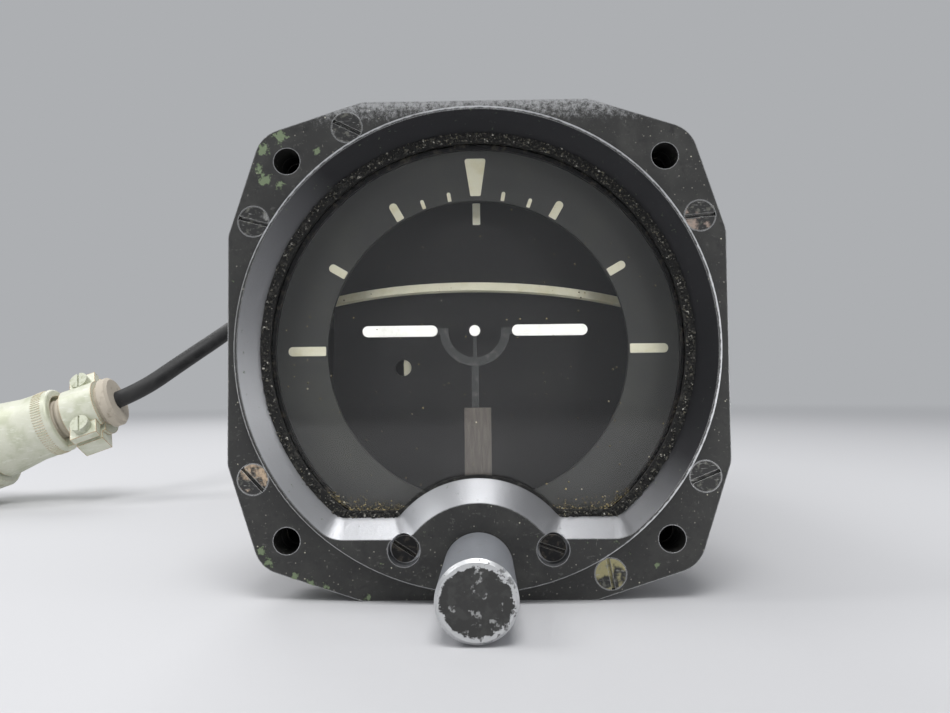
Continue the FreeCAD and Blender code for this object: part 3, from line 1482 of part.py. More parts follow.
# Route of the cable from inside the gland to inside the rubber bush.
CABLE_ROUTE = [
    Vector(-22.0, 168.0, 8.0),
    Vector(-22.0, 186.0, 8.0),
    Vector(-29.0, 205.0, 10.0),
    Vector(-45.0, 218.0, 13.5),
    Vector(-65.5, 216.0, 18.0),
    Vector(-80.0, 201.5, 21.0),
    Vector(-84.5, 178.5, 21.5),
    Vector(-82.5, 153.5, 18.5),
    Vector(-85.0, 130.5, 12.3),
    Vector(-92.5, 119.5, 4.6),
    PLUG_FACE - PLUG_AXIS * 14.5,
    PLUG_FACE + PLUG_AXIS * 4.5,
]


def cable_path(route):
    """Straight runs joined by tangent arcs, each as large as its two runs allow."""
    share = 0.45
    edges = []
    start = route[0]
    radii = []
    for before, corner, after in zip(route, route[1:], route[2:]):
        into = (corner - before).normalize()
        out = (after - corner).normalize()
        turn = math.acos(max(-1.0, min(1.0, into.dot(out))))
        reach = share * min((corner - before).Length, (after - corner).Length)
        radius = reach / math.tan(turn / 2)
        radii.append(radius)
        first = corner - into * reach
        last = corner + out * reach
        inward = (out - into).normalize()
        centre = corner + inward * (radius / math.cos(turn / 2))
        middle = centre - inward * radius
        edges.append(Part.LineSegment(start, first).toShape())
        edges.append(Part.Arc(first, middle, last).toShape())
        start = last
    edges.append(Part.LineSegment(start, route[-1]).toShape())
    return Part.Wire(edges), radii


def make_cable():
    """Gland with its nut on the rear cover, and the cable to the plug."""
    back = s.case_back + s.cover_thick
    at_gland = moved(s.gland_x.value, 0, s.gland_z.value)
    nut_start = back + s.gland_long
    nut_end = nut_start + s.gland_nut_long
    body = Piece("cable_gland")
    body.turn("Y", (back, s.cable_r), (back, s.gland_r), (back + 2, s.gland_r), (back + 3, s.gland_r - 1),
              (nut_start, s.gland_r - 1), (nut_start, s.cable_r))
    node("cable_gland", body, at_gland)
    nut = Piece("gland_nut")
    nut.turn("Y", (nut_start, s.cable_r), (nut_start, s.gland_nut_r), (nut_end - 1.5, s.gland_nut_r),
             (nut_end, s.gland_nut_r - 1.5), (nut_end, s.cable_r))
    node("gland_nut", nut, at_gland)

    wire, radii = cable_path(CABLE_ROUTE)
    section = Part.Wire(Part.makeCircle(s.cable_r.value, CABLE_ROUTE[0], CABLE_ROUTE[1] - CABLE_ROUTE[0]))
    shell = wire.makePipeShell([section], True, False)
    node("cable", shaped("cable", Part.Solid(shell) if shell.ShapeType != "Solid" else shell))
    print("cable length %.1f, radii %s" % (wire.Length, [round(r, 1) for r in radii]))
    expected = math.pi * s.cable_r.value ** 2 * wire.Length
    print("cable volume %.1f, section times length %.1f" % (NODES["cable"].Shape.Volume, expected))


SADDLE_END = s.clamp_start + s.clamp_long
RING_START = SADDLE_END + s.clamp_window
RING_END = RING_START + s.clamp_ring_long
BELL_END = RING_END + s.endbell_long
NECK_END = BELL_END + s.neck_long
NUT_END = NECK_END + s.nut_long


def make_clamp():
    """Cable clamp: rubber bush, body with a cradle and a ring, saddle, and two screws."""
    bush = Piece("cable_bushing")
    lip = s.bush_lip_r
    bush.turn("Z", (0, s.cable_r), (0, lip - 0.8), (0.8, lip), (s.bush_lip_long, lip),
              (s.bush_lip_long, s.bush_out_r), (s.bush_long, s.bush_out_r), (s.bush_long, s.cable_r))
    node("cable_bushing", bush, PLUG)

    bore = s.bush_out_r
    ear_out = s.ear_x + s.ear_half_wide
    mid = s.clamp_start + s.clamp_long / 2
    apart = s.clamp_gap / 2
    body = Piece("clamp_body")
    body.pad("top", s.clamp_start, RING_END - s.clamp_start, circle(0, 0, s.clamp_r))
    ear = rectangle(-ear_out, ear_out, -s.ear_low, -apart)
    body.pad("top", s.clamp_start + 1, s.clamp_long - 2, ear)
    body.pocket("top", s.clamp_start, RING_END - s.clamp_start, circle(0, 0, bore))
    above = rectangle(-ear_out - 1, ear_out + 1, -apart, s.clamp_r + 1)
    body.pocket("top", s.clamp_start, s.clamp_long, above)
    window = rectangle(-s.clamp_r - 1, s.clamp_r + 1, -2.5, s.clamp_r + 1)
    body.pocket("top", SADDLE_END, s.clamp_window, window)
    node("cable_clamp_body", clamp_holes(body, mid), PLUG)

    saddle = Piece("clamp_saddle")
    saddle.pad("top", s.clamp_start, s.clamp_long, circle(0, 0, bore + s.saddle_thick))
    saddle.pad("top", s.clamp_start + 1, s.clamp_long - 2,
               rectangle(-ear_out, ear_out, apart, apart + s.ear_tall))
    saddle.pocket("top", s.clamp_start, s.clamp_long, circle(0, 0, bore))
    below = rectangle(-ear_out - 1, ear_out + 1, -s.clamp_r - 1, apart)
    saddle.pocket("top", s.clamp_start, s.clamp_long, below)
    node("cable_clamp_saddle", clamp_holes(saddle, mid, apart + s.ear_tall), PLUG)

    screws = []
    seat = apart + s.ear_tall
    for n, side in enumerate((-1, 1)):
        x = s.ear_x * side
        shank = rod("clamp_shank_%d" % n, "Y", (x, -s.ear_low, mid), s.clamp_screw_r, seat + s.ear_low)
        head = rod("clamp_head_%d" % n, "Y", (x, seat, mid), s.clamp_head_r, s.clamp_head_tall)
        blade = block("clamp_blade_%d" % n, (x - s.clamp_head_r, seat + s.clamp_head_tall - s.slot_deep,
                                             mid - s.slot_wide / 2),
                      s.clamp_head_r * 2, s.slot_deep, s.slot_wide)
        screws.append(cut("clamp_screw_%d" % n, fuse("clamp_screw_solid_%d" % n, shank, head), blade))
    node("cable_clamp_screws", group("cable_clamp_screws", screws), PLUG)


def clamp_holes(piece, mid, seat=None):
    """Drill both screw holes through a clamp half, with a spot face under each head."""
    name = piece.body.Name
    reach = s.ear_low + s.clamp_r
    drills = []
    for n, side in enumerate((-1, 1)):
        at = (s.ear_x * side, -s.ear_low - 1, mid)
        drills.append(rod("%s_drill_%d" % (name, n), "Y", at, s.clamp_screw_r, reach + 1))
        if seat is not None:
            face = (s.ear_x * side, seat, mid)
            drills.append(rod("%s_face_%d" % (name, n), "Y", face, s.clamp_head_r + s.head_gap, s.clamp_r))
    return cut(name + "_drilled", piece.body, group(name + "_drills", drills))


def make_plug():
    """Endbell, shell with its insert and contacts, and the fluted coupling nut."""
    bell = Piece("connector_endbell")
    wall = s.endbell_wall
    bell.turn("Z", (RING_END, s.bush_out_r), (RING_END, s.endbell_small_r),
              (BELL_END - 2, s.endbell_large_r), (BELL_END, s.endbell_large_r),
              (BELL_END, s.neck_r), (NECK_END, s.neck_r), (NECK_END, s.neck_r - wall),
              (RING_END + 4, s.neck_r - wall), (RING_END + 2, s.bush_out_r))
    node("connector_endbell", bell, PLUG)

    shell = Piece("connector_shell")
    insert_end = NECK_END + s.insert_thick
    lip = NUT_END - 1.5
    inner = s.shell_r - s.shell_wall
    shell.turn("Z", (NECK_END, inner - 1), (NECK_END, s.shell_r), (lip, s.shell_r), (lip, inner),
               (insert_end, inner), (insert_end, inner - 1))
    node("connector_shell", shell, PLUG)

    insert = Piece("connector_insert")
    insert.turn("Z", (NECK_END, 0), (NECK_END, inner - 1), (insert_end, inner - 1), (insert_end, 0))
    node("connector_insert", insert, PLUG)

    pins = []
    count = SIZES["contact_count"]
    for n in range(count):
        angle = 360.0 * n / count
        at = (s.contact_circle_r * cosine(angle), s.contact_circle_r * sine(angle), insert_end)
        pins.append(rod("contact_%d" % n, "Z", at, s.contact_r, s.contact_long))
    node("connector_contacts", group("connector_contacts", pins), PLUG)

    nut = Piece("connector_coupling_nut")
    bore = s.nut_r - s.nut_wall
    collar = NECK_END + s.nut_collar
    gap = s.nut_gap
    nut.turn("Z", (NECK_END - 1, s.neck_r + gap), (NECK_END - 1, s.nut_r - 1), (NECK_END, s.nut_r),
             (NUT_END - 0.8, s.nut_r), (NUT_END, s.nut_r - 0.8), (NUT_END, bore), (collar, bore),
             (collar, s.shell_r + gap), (NECK_END - gap, s.shell_r + gap), (NECK_END - gap, s.neck_r + gap))
    nut.pocket("top", collar, s.nut_long - s.nut_collar * 2, circle(s.nut_r, 0, s.nut_flute_r))
    nut.around(s.nut_flutes, "Z_Axis")
    node("connector_coupling_nut", nut, PLUG)


# ---------------------------------------------------------------------------------------------------
# build, check and write


def check_document():
    """Stop if any object failed, any shape is bad, or any cut removed nothing."""
    for thing in DOC.Objects:
        if "Invalid" in thing.State or "Error" in thing.State:
            raise RuntimeError("%s failed: %s" % (thing.Label, thing.State))
    for feature in CUTS:
        if feature.Shape.Volume > feature.BaseFeature.Shape.Volume - 1e-3:
            raise RuntimeError("%s of %s cuts nothing" % (feature.Name, feature.getParent().Label))
    for label, thing in NODES.items():
        if thing.Shape.isNull() or not thing.Shape.isValid() or not thing.Shape.Solids:
            raise RuntimeError("%s has no valid solid" % label)


def main():
    """Build every sub-part and write one STEP file for each node."""
    make_bezel()
    make_glass()
    make_front_screws()
    make_case()
    make_rear_cover()
    make_mask()
    make_knob()
    make_gear_plate()
    make_symbol()
    make_gimbal()
    make_spindle()
    make_housing()
    make_horizon()
    make_cable()
    make_clamp()
    make_plug()
    DOC.recompute()
    check_document()
    os.makedirs("parts", exist_ok=True)
    for label, thing in NODES.items():
        thing.Shape.exportStep("parts/%s.step" % label)
    print("%d nodes" % len(NODES))


main()
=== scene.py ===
"""Electric attitude indicator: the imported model, dressed and lit.

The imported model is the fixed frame.  The classes below build the pieces that it leaves
to this file (the dial's painted marks, the dust round the window, the knurl of the
plug, the cable's smooth line and its boot) and give every piece its finish.
Sizes in the classes are millimetres; meshes are written in metres.
"""

import json
import logging
import math
from dataclasses import dataclass
from enum import Enum
from typing import ClassVar

import bmesh
import bpy
import numpy as np
from mathutils import Matrix, Vector

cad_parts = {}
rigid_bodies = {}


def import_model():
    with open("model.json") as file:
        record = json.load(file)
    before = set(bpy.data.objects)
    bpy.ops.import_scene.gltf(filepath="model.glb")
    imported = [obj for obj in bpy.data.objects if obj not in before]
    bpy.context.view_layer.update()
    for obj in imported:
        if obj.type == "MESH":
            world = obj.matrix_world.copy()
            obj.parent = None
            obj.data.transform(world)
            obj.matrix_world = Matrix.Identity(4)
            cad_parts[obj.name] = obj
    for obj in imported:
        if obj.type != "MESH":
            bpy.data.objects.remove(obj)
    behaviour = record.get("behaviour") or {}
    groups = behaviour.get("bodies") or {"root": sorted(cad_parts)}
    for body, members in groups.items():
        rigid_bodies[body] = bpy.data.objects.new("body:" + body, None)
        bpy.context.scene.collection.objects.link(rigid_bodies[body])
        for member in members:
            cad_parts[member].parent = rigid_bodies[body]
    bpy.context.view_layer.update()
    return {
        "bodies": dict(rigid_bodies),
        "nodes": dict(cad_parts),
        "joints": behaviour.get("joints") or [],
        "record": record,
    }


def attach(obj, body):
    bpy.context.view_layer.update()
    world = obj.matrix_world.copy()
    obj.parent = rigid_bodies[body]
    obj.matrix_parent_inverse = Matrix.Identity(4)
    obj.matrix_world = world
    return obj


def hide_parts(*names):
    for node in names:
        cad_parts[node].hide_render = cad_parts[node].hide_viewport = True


MM = 0.001
log = logging.getLogger("attitude_indicator")

Socket = bpy.types.NodeSocket
Node = bpy.types.Node
Tree = bpy.types.NodeTree
Material = bpy.types.Material
Piece = bpy.types.Object
Signal = Socket | Node
Triple = tuple[float, float, float]
SMOOTH = {"interpolation_type": "SMOOTHSTEP"}
FLAT_XZ = (1.0, 0.0, 1.0)


# ---------------------------------------------------------------- shared helpers


def srgb(code: str) -> tuple[float, float, float, float]:
    """Turn an sRGB hex colour into the linear colour that shaders take.

    Args:
        code: Six hex digits, such as "2A2B2C".

    Returns:
        Linear red, green, blue and an alpha of 1.
    """
    parts = np.array([int(code[i : i + 2], 16) for i in (0, 2, 4)]) / 255
    linear = np.where(parts <= 0.04045, parts / 12.92, ((parts + 0.055) / 1.055) ** 2.4)
    return (*map(float, linear), 1.0)


def per_metre(size: float) -> float:
    """Pattern scale, in repeats per metre, of a feature of that many millimetres."""
    return 1 / (size * MM)


def feed(tree: Tree, target: Socket, value: object) -> None:
    """Give a node's input a signal or a plain value.

    Args:
        tree: The node tree.
        target: The input.
        value: A socket, a node that stands for its first output, or a plain value.
    """
    if isinstance(value, Node):
        value = value.outputs[0]
    if isinstance(value, Socket):
        tree.links.new(value, target)
    else:
        target.default_value = value


def add(
    tree: Tree,
    kind: str,
    *inputs: object,
    named: dict[str | int, object] | None = None,
    stops: tuple[tuple[float, str], ...] = (),
    **settings: object,
) -> Node:
    """Add one shader node.

    Args:
        tree: The node tree that it joins.
        kind: The node's type name, without "ShaderNode" before it.
        inputs: What its first inputs are fed, in order.
        named: What further inputs are fed, by name or number.
        stops: Places and hex colours of a colour ramp.
        settings: The node's own options.

    Returns:
        The new node.
    """
    node = tree.nodes.new("ShaderNode" + kind)
    for key, value in settings.items():
        setattr(node, key, value)
    for key, value in [*enumerate(inputs), *(named or {}).items()]:
        feed(tree, node.inputs[key], value)
    for number, (place, colour) in enumerate(stops):
        ramp = node.color_ramp.elements
        stop = ramp[number] if number < len(ramp) else ramp.new(place)
        stop.position = place
        stop.color = srgb(colour)
    return node


def mesh_piece(name: str, grids: np.ndarray, material: Material, smooth: bool = True) -> Piece:
    """Make one mesh object from a stack of grids that each close round their columns.

    Each grid is rows of points; neighbouring rows are joined by quads, and the last
    column joins the first.  Points in the same place are merged, which closes poles,
    and the faces are then turned outwards.

    Args:
        name: The object's name.
        grids: Points in millimetres, shaped (grids, rows, columns, 3).
        material: Its finish.
        smooth: Whether the faces are shaded smooth.

    Returns:
        The new object, at the origin.
    """
    count, rows, columns = grids.shape[:3]
    index = np.arange(count * rows * columns).reshape(count, rows, columns)
    after = np.roll(index, -1, axis=2)
    quads = np.stack([index[:, :-1], after[:, :-1], after[:, 1:], index[:, 1:]], axis=-1)
    mesh = bpy.data.meshes.new(name)
    mesh.from_pydata((grids.reshape(-1, 3) * MM).tolist(), [], quads.reshape(-1, 4).tolist())
    shape = bmesh.new()
    shape.from_mesh(mesh)
    bmesh.ops.remove_doubles(shape, verts=shape.verts, dist=1e-8)
    bmesh.ops.recalc_face_normals(shape, faces=shape.faces)
    shape.to_mesh(mesh)
    shape.free()
    mesh.polygons.foreach_set("use_smooth", [smooth] * len(mesh.polygons))
    mesh.materials.append(material)
    piece = bpy.data.objects.new(name, mesh)
    bpy.context.scene.collection.objects.link(piece)
    return piece


def turned(profile: np.ndarray, hold: float = 0.06, columns: int = 48) -> np.ndarray:
    """Carry a profile round an axis.

    Each run of the profile gets a point close to both its ends, so that its corners
    stay crisp; each point (along, radius) then goes round as radius times the cosine
    and sine of the turn.

    Args:
        profile: Corners as (along, radius) in millimetres.
        hold: Distance of the extra points from a corner.
        columns: Points round the axis.

    Returns:
        Points (rows, columns, 3) as along, across and up.
    """
    start, run = profile[:-1], np.diff(profile, axis=0)
    share = np.minimum(hold / np.linalg.norm(run, axis=1), 0.4)[:, None, None]
    stops = np.concatenate([share * 0, share, 1 - share], axis=1)
    rows = np.concatenate([(start[:, None] + run[:, None] * stops).reshape(-1, 2), profile[-1:]])
    turn = np.linspace(0, math.tau, columns, endpoint=False)
    along = np.broadcast_to(rows[:, :1], (len(rows), columns))
    return np.stack([along, rows[:, 1:] * np.cos(turn), rows[:, 1:] * np.sin(turn)], axis=-1)


def settle(piece: Piece, body: str, slot: str, *stands_for: str) -> None:
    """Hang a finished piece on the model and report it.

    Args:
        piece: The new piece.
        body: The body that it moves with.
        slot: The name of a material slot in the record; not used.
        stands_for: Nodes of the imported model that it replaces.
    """
    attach(piece, body)
    if stands_for:
        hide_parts(*stands_for)
    log.info("built %s on %s", piece.name, body)


# Power of the random share that sets a grain's size: the higher, the fewer large ones.
FEW_LARGE = 2.5


def scattered(seed: int, places: np.ndarray, sizes: tuple[float, float], flat: float) -> np.ndarray:
    """Small irregular grains, one at each place.

    A grain is two poles and a ring of five points, each pushed in or out at random:
    radius = size x (0.7 to 1.3).  Its thickness along Y is its size times flat.

    Args:
        seed: Seed of the random numbers, so that each run is the same.
        places: Grain centres in millimetres, shaped (grains, 3).
        sizes: Smallest and largest grain radius.
        flat: Thickness over width.

    Returns:
        Grids for mesh_piece, shaped (grains, 3, 5, 3).
    """
    chance = np.random.default_rng(seed)
    grains = len(places)
    size = sizes[0] + (sizes[1] - sizes[0]) * chance.random(grains) ** FEW_LARGE
    turn = chance.random((grains, 1)) * math.tau + np.arange(5) * math.tau / 5
    reach = size[:, None] * (0.7 + 0.6 * chance.random((grains, 5)))
    lift = (chance.random((grains, 5)) - 0.5) * 0.5 * reach
    ring = np.stack([np.cos(turn) * reach, lift, np.sin(turn) * reach], -1)
    pole = np.zeros((grains, 5, 3))
    pole[:, :, 1] = (size * flat)[:, None]
    return np.stack([-pole, ring * (1, flat, 1), pole], axis=1) + places[:, None, None, :]


# ---------------------------------------------------------------- finishes


class Where(Enum):
    """Where a coat shows on a surface."""

    PATCHES = "soft blotches"
    SPECKS = "small separate spots"
    EDGES = "broken wear along edges"

    def __call__(self, colour: str, rough: float, *sizes: float, metal: float = 0.0, **more: object) -> "Layer":
        """A layer that shows there, from its coat's values and its own."""
        return Layer(Coat(colour, rough, metal), self, *sizes, **more)


PATCHES, SPECKS, EDGES = Where


@dataclass(frozen=True)
class Coat:
    """A coat: its colour, its roughness and its share of bare metal."""

    colour: str | Signal
    rough: float
    metal: float = 0.0

    def tone(self) -> object:
        """The colour as a shader takes it: linear numbers, or the signal itself."""
        return srgb(self.colour) if isinstance(self.colour, str) else self.colour


@dataclass(frozen=True)
class Layer:
    """A coat over the ground coat.

    size is the blotch size, the spot spacing or the edge's rounding, in millimetres.
    start and full are the pattern's levels where the coat begins and where it covers.
    depth is how far it stands above the ground coat, in millimetres, or below it.
    """

    coat: Coat
    where: Where
    size: float
    start: float
    full: float
    stretch: Triple = (1.0, 1.0, 1.0)
    share: float = 1.0
    depth: float = 0.0


@dataclass(frozen=True)
class Relief:
    """Fine unevenness all over a surface: feature size and depth in millimetres."""

    size: float
    depth: float
    stretch: Triple = (1.0, 1.0, 1.0)


Cover = tuple[Signal, Coat, float]


def blotches(tree: Tree, place: Socket, layer: Layer) -> Node:
    """Soft blotches: noise of the layer's size, cut between its start and full levels.

    Args:
        tree: The node tree.
        place: The surface position.
        layer: The layer's sizes.

    Returns:
        0 outside the blotches, up to the layer's share inside.
    """
    spread = add(tree, "VectorMath", place, layer.stretch, operation="MULTIPLY")
    pattern = {"Scale": per_metre(layer.size), "Detail": 4.0, "Roughness": 0.62}
    noise = add(tree, "TexNoise", spread, named=pattern)
    return add(tree, "MapRange", noise, layer.start, layer.full, 0.0, layer.share, **SMOOTH)


def spots(tree: Tree, place: Socket, layer: Layer) -> Node:
    """Separate spots: cells of the layer's size, of which its share hold a spot.

    The distance from a cell's centre, as a share of its size, is cut from full
    cover at start to none at full.

    Args:
        tree: The node tree.
        place: The surface position.
        layer: The layer's sizes.

    Returns:
        1 in a spot and 0 elsewhere.
    """
    cells = add(tree, "TexVoronoi", place, named={"Scale": per_metre(layer.size)}).outputs
    round_spot = add(tree, "MapRange", cells["Distance"], layer.start, layer.full, 1.0, 0.0, **SMOOTH)
    parts = add(tree, "SeparateColor", cells["Color"])
    chosen = add(tree, "Math", parts, layer.share, operation="LESS_THAN")
    return add(tree, "Math", round_spot, chosen, operation="MULTIPLY")


def rubbed_edges(tree: Tree, place: Socket, layer: Layer) -> Node:
    """Edges: where a rounded normal leaves the true one, broken up by noise.

    Args:
        tree: The node tree.
        place: The surface position.
        layer: The layer's sizes; start and full are levels of the broken edge.

    Returns:
        Near the layer's share on worn edges, and 0 on flats.
    """
    rounded = add(tree, "Bevel", layer.size * MM, samples=6)
    true = add(tree, "NewGeometry").outputs["Normal"]
    agree = add(tree, "VectorMath", rounded, true, operation="DOT_PRODUCT").outputs["Value"]
    pattern = {"Scale": per_metre(layer.size * 2.2), "Detail": 5.0, "Roughness": 0.7}
    noise = add(tree, "TexNoise", place, named=pattern)
    edge = add(tree, "Math", 1.0, agree, operation="SUBTRACT")
    broken = add(tree, "Math", edge, noise, operation="MULTIPLY")
    return add(tree, "MapRange", broken, layer.start, layer.full, 0.0, layer.share, **SMOOTH)


MASKS = {PATCHES: blotches, SPECKS: spots, EDGES: rubbed_edges}


@dataclass(frozen=True)
class Finish:
    """A finish built up from a ground coat, further coats and a fine relief."""

    name: str
    ground: Coat
    layers: tuple[Layer, ...] = ()
    reliefs: tuple[Relief, ...] = ()

    @classmethod
    def of(cls, name: str, ground: Coat, *over: Layer | Relief) -> "Finish":
        """Make a finish from its ground coat and all that lies over it."""
        parts = (tuple(one for one in over if isinstance(one, kind)) for kind in (Layer, Relief))
        return cls(name, ground, *parts)

    def covers(self, tree: Tree, place: Socket) -> list[Cover]:
        """List each coat over the ground with its mask and depth.

        Args:
            tree: The node tree.
            place: The surface position.

        Returns:
            The covers in the order they are laid.
        """
        return [(MASKS[one.where](tree, place, one), one.coat, one.depth) for one in self.layers]

    def lay(self, tree: Tree, shader: Node, covers: list[Cover]) -> None:
        """Mix the coats' colours, roughness and metal, one over the other.

        Args:
            tree: The node tree.
            shader: The Principled shader.
            covers: The covers in order.
        """
        metals = {self.ground.metal, *(coat.metal for _, coat, _ in covers)}
        colour, rough, metal = self.ground.tone(), self.ground.rough, self.ground.metal
        for mask, coat, _ in covers:
            colours = {6: colour, 7: coat.tone()}
            colour = add(tree, "Mix", mask, named=colours, data_type="RGBA").outputs[2]
            rough = add(tree, "Mix", mask, named={2: rough, 3: coat.rough}, data_type="FLOAT")
            if len(metals) > 1:
                metal = add(tree, "Mix", mask, named={2: metal, 3: coat.metal}, data_type="FLOAT")
        for name, value in (("Base Color", colour), ("Roughness", rough), ("Metallic", metal)):
            feed(tree, shader.inputs[name], value)

    def roughen(self, tree: Tree, shader: Node, place: Socket, covers: list[Cover]) -> None:
        """Give the surface its fine relief, and each thick coat its step.

        Args:
            tree: The node tree.
            shader: The Principled shader.
            place: The surface position.
            covers: The covers, of which those with a depth make a step.
        """
        heights = [(mask, depth) for mask, _, depth in covers if depth]
        for relief in self.reliefs:
            spread = add(tree, "VectorMath", place, relief.stretch, operation="MULTIPLY")
            noise = add(tree, "TexNoise", spread, named={"Scale": per_metre(relief.size), "Detail": 3.0})
            heights.append((noise, relief.depth))
        below: dict[str, Signal] = {}
        for height, depth in heights:
            step = {"Height": height, "Distance": abs(depth) * MM, "Strength": 1.0, **below}
            below = {"Normal": add(tree, "Bump", named=step, invert=depth < 0)}
        for name, value in below.items():
            feed(tree, shader.inputs[name], value)

    def material(self) -> Material:
        """Build the material once, and return it again when it is asked for again."""
        made = bpy.data.materials.get(self.name)
        if made is not None:
            return made
        made = bpy.data.materials.new(self.name)
        made.use_nodes = True
        tree = made.node_tree
        shader = tree.nodes["Principled BSDF"]
        place = add(tree, "TexCoord").outputs["Object"]
        covers = self.covers(tree, place)
        self.lay(tree, shader, covers)
        self.roughen(tree, shader, place, covers)
        return made


@dataclass(frozen=True)
class Spot:
    """A place on the bezel where the top coat has flaked: x, z and reach."""

    x: float
    z: float
    reach: float


@dataclass(frozen=True)
class BezelFinish(Finish):
    """Black enamel on a cast bezel: satin bevel, bright ring edge, flakes to primer."""

    satin: Coat = Coat("353537", 0.38, 0.7)
    # Painted highlight: bright metal laid on the bevel towards its lower left, where light from above falls on it;
    # it stands for light, not wear.
    painted_highlight: Coat = Coat("B8B9BC", 0.4, 0.92)
    bright: Coat = Coat("BDBEC0", 0.38, 0.9)
    grazed: Coat = Coat("ACADAE", 0.42, 0.75)
    primer: Coat = Coat("6C7A5E", 0.72)
    ring_radius: float = 39.4
    ring_front: float = -2.5
    ring_wide: float = 0.62
    ring_deep: float = 0.8
    bevel_radius: float = 39.15
    bevel_start: float = 0.02
    bevel_full: float = 0.12
    bevel_back: float = 2.0
    low: Triple = (-0.6, 0.0, -0.75)
    # Heights along low between which the bevel's painted highlight grows from none to full.
    highlight_start: float = -7.0
    highlight_full: float = 30.0
    # The ring's worn edge is real wear; these fade it towards the lower left so that it shows full on the top,
    # where light from above catches it: a painted highlight over the wear.
    edge_full: float = 4.0
    edge_least: float = 20.0
    edge_share: float = 0.3
    top_start: float = 28.6
    top_full: float = 41.4
    ring_cut: tuple[float, ...] = (0.2, 0.4)
    top_cut: tuple[float, ...] = (0.36, 0.54, 0.0, 0.9)
    flake_grain: float = 0.3
    flake_cut: tuple[float, ...] = (0.64, 0.69)
    flakes: tuple[Spot, ...] = (
        Spot(-32.6, 35.7, 2.2),
        Spot(-35.4, 33.6, 2.0),
        Spot(-36.4, 30.2, 1.5),
        Spot(-35.2, 28.4, 1.9),
        Spot(-32.6, 27.4, 1.2),
        Spot(-26.5, 32.9, 1.0),
        Spot(-35.6, -32.9, 1.2),
        Spot(-34.5, -34.9, 1.4),
        Spot(-30.2, -37.3, 1.0),
        Spot(-27.6, -38.3, 1.3),
        Spot(-25.2, -39.1, 1.2),
        Spot(-18.2, -40.6, 1.0),
        Spot(29.0, -35.6, 0.9),
    )

    def covers(self, tree: Tree, place: Socket) -> list[Cover]:
        """Add the bevel, the ring's worn edge, the worn top and the primer.

        Radius is the square root of x squared plus z squared, from the dial's axis.
        Height along low, which points down and left, paints a highlight on the bevel
        from highlight_start to highlight_full, where light from above falls on it, and fades the
        ring's worn edge to edge_share, so that the real wear shows full only on the top,
        where the light catches it: a painted highlight over the wear.
        Each cut gives the levels where a broken pattern starts and covers, and where
        it has four values, what it is mapped to.

        Args:
            tree: The node tree.
            place: The surface position.

        Returns:
            The covers in the order they are laid.
        """
        axes = add(tree, "SeparateXYZ", place).outputs
        across = add(tree, "VectorMath", place, FLAT_XZ, operation="MULTIPLY")
        radius = add(tree, "VectorMath", across, operation="LENGTH").outputs["Value"]
        inside = add(tree, "Math", radius, self.bevel_radius * MM, operation="LESS_THAN")
        start, full = ((self.ring_front + gap) * MM for gap in (self.bevel_start, self.bevel_full))
        behind = add(tree, "MapRange", axes[1], start, full)
        before = add(tree, "Math", axes[1], self.bevel_back * MM, operation="LESS_THAN")
        bevel = inside
        for limit in (behind, before):
            bevel = add(tree, "Math", bevel, limit, operation="MULTIPLY")
        low = add(tree, "VectorMath", place, self.low, operation="DOT_PRODUCT").outputs["Value"]
        # Painted highlight: the bevel brightens towards its lower left, where light from above falls on it.
        bright = add(tree, "MapRange", low, self.highlight_start * MM, self.highlight_full * MM)
        # The ring's worn edge is real wear; fading it away from the top, where the light catches it, paints a
        # highlight on it.
        ring_highlight_fade = add(tree, "MapRange", low, self.edge_full * MM, self.edge_least * MM, 1.0, self.edge_share)
        painted_highlight = add(tree, "Math", bevel, bright, operation="MULTIPLY")
        pattern = {"Scale": per_metre(1.1), "Detail": 6.0, "Roughness": 0.75}
        chatter = add(tree, "TexNoise", place, named=pattern)
        away = add(tree, "Math", radius, self.ring_radius * MM, operation="SUBTRACT")
        away = add(tree, "Math", away, operation="ABSOLUTE")
        ring = add(tree, "MapRange", away, self.ring_wide * MM, 0.0, 0.0, 1.0)
        depth = (self.ring_front + self.ring_deep) * MM
        front = add(tree, "Math", axes[1], depth, operation="LESS_THAN")
        for limit in (front, ring_highlight_fade, chatter):
            ring = add(tree, "Math", ring, limit, operation="MULTIPLY")
        ring = add(tree, "MapRange", ring, *self.ring_cut, **SMOOTH)
        high = add(tree, "MapRange", axes[2], self.top_start * MM, self.top_full * MM)
        pattern = {"Scale": per_metre(1.0), "Detail": 8.0, "Roughness": 0.9}
        grit = add(tree, "TexNoise", place, named=pattern)
        top = add(tree, "Math", high, grit, operation="MULTIPLY")
        top = add(tree, "MapRange", top, *self.top_cut, **SMOOTH)
        reach: Signal | None = None
        for spot in self.flakes:
            centre = (spot.x * MM, 0.0, spot.z * MM)
            gap = add(tree, "VectorMath", across, centre, operation="DISTANCE").outputs["Value"]
            here = add(tree, "MapRange", gap, spot.reach * MM, 0.0)
            reach = add(tree, "Math", reach, here, operation="MAXIMUM") if reach else here
        flake = add(tree, "Math", reach, self.flake_grain, chatter, operation="MULTIPLY_ADD")
        flake = add(tree, "MapRange", flake, *self.flake_cut, **SMOOTH)
        return [
            *super().covers(tree, place),
            (top, self.grazed, -0.02),
            (bevel, self.satin, 0.0),
            (painted_highlight, self.painted_highlight, 0.0),
            (ring, self.bright, 0.0),
            (flake, self.primer, -0.05),
        ]


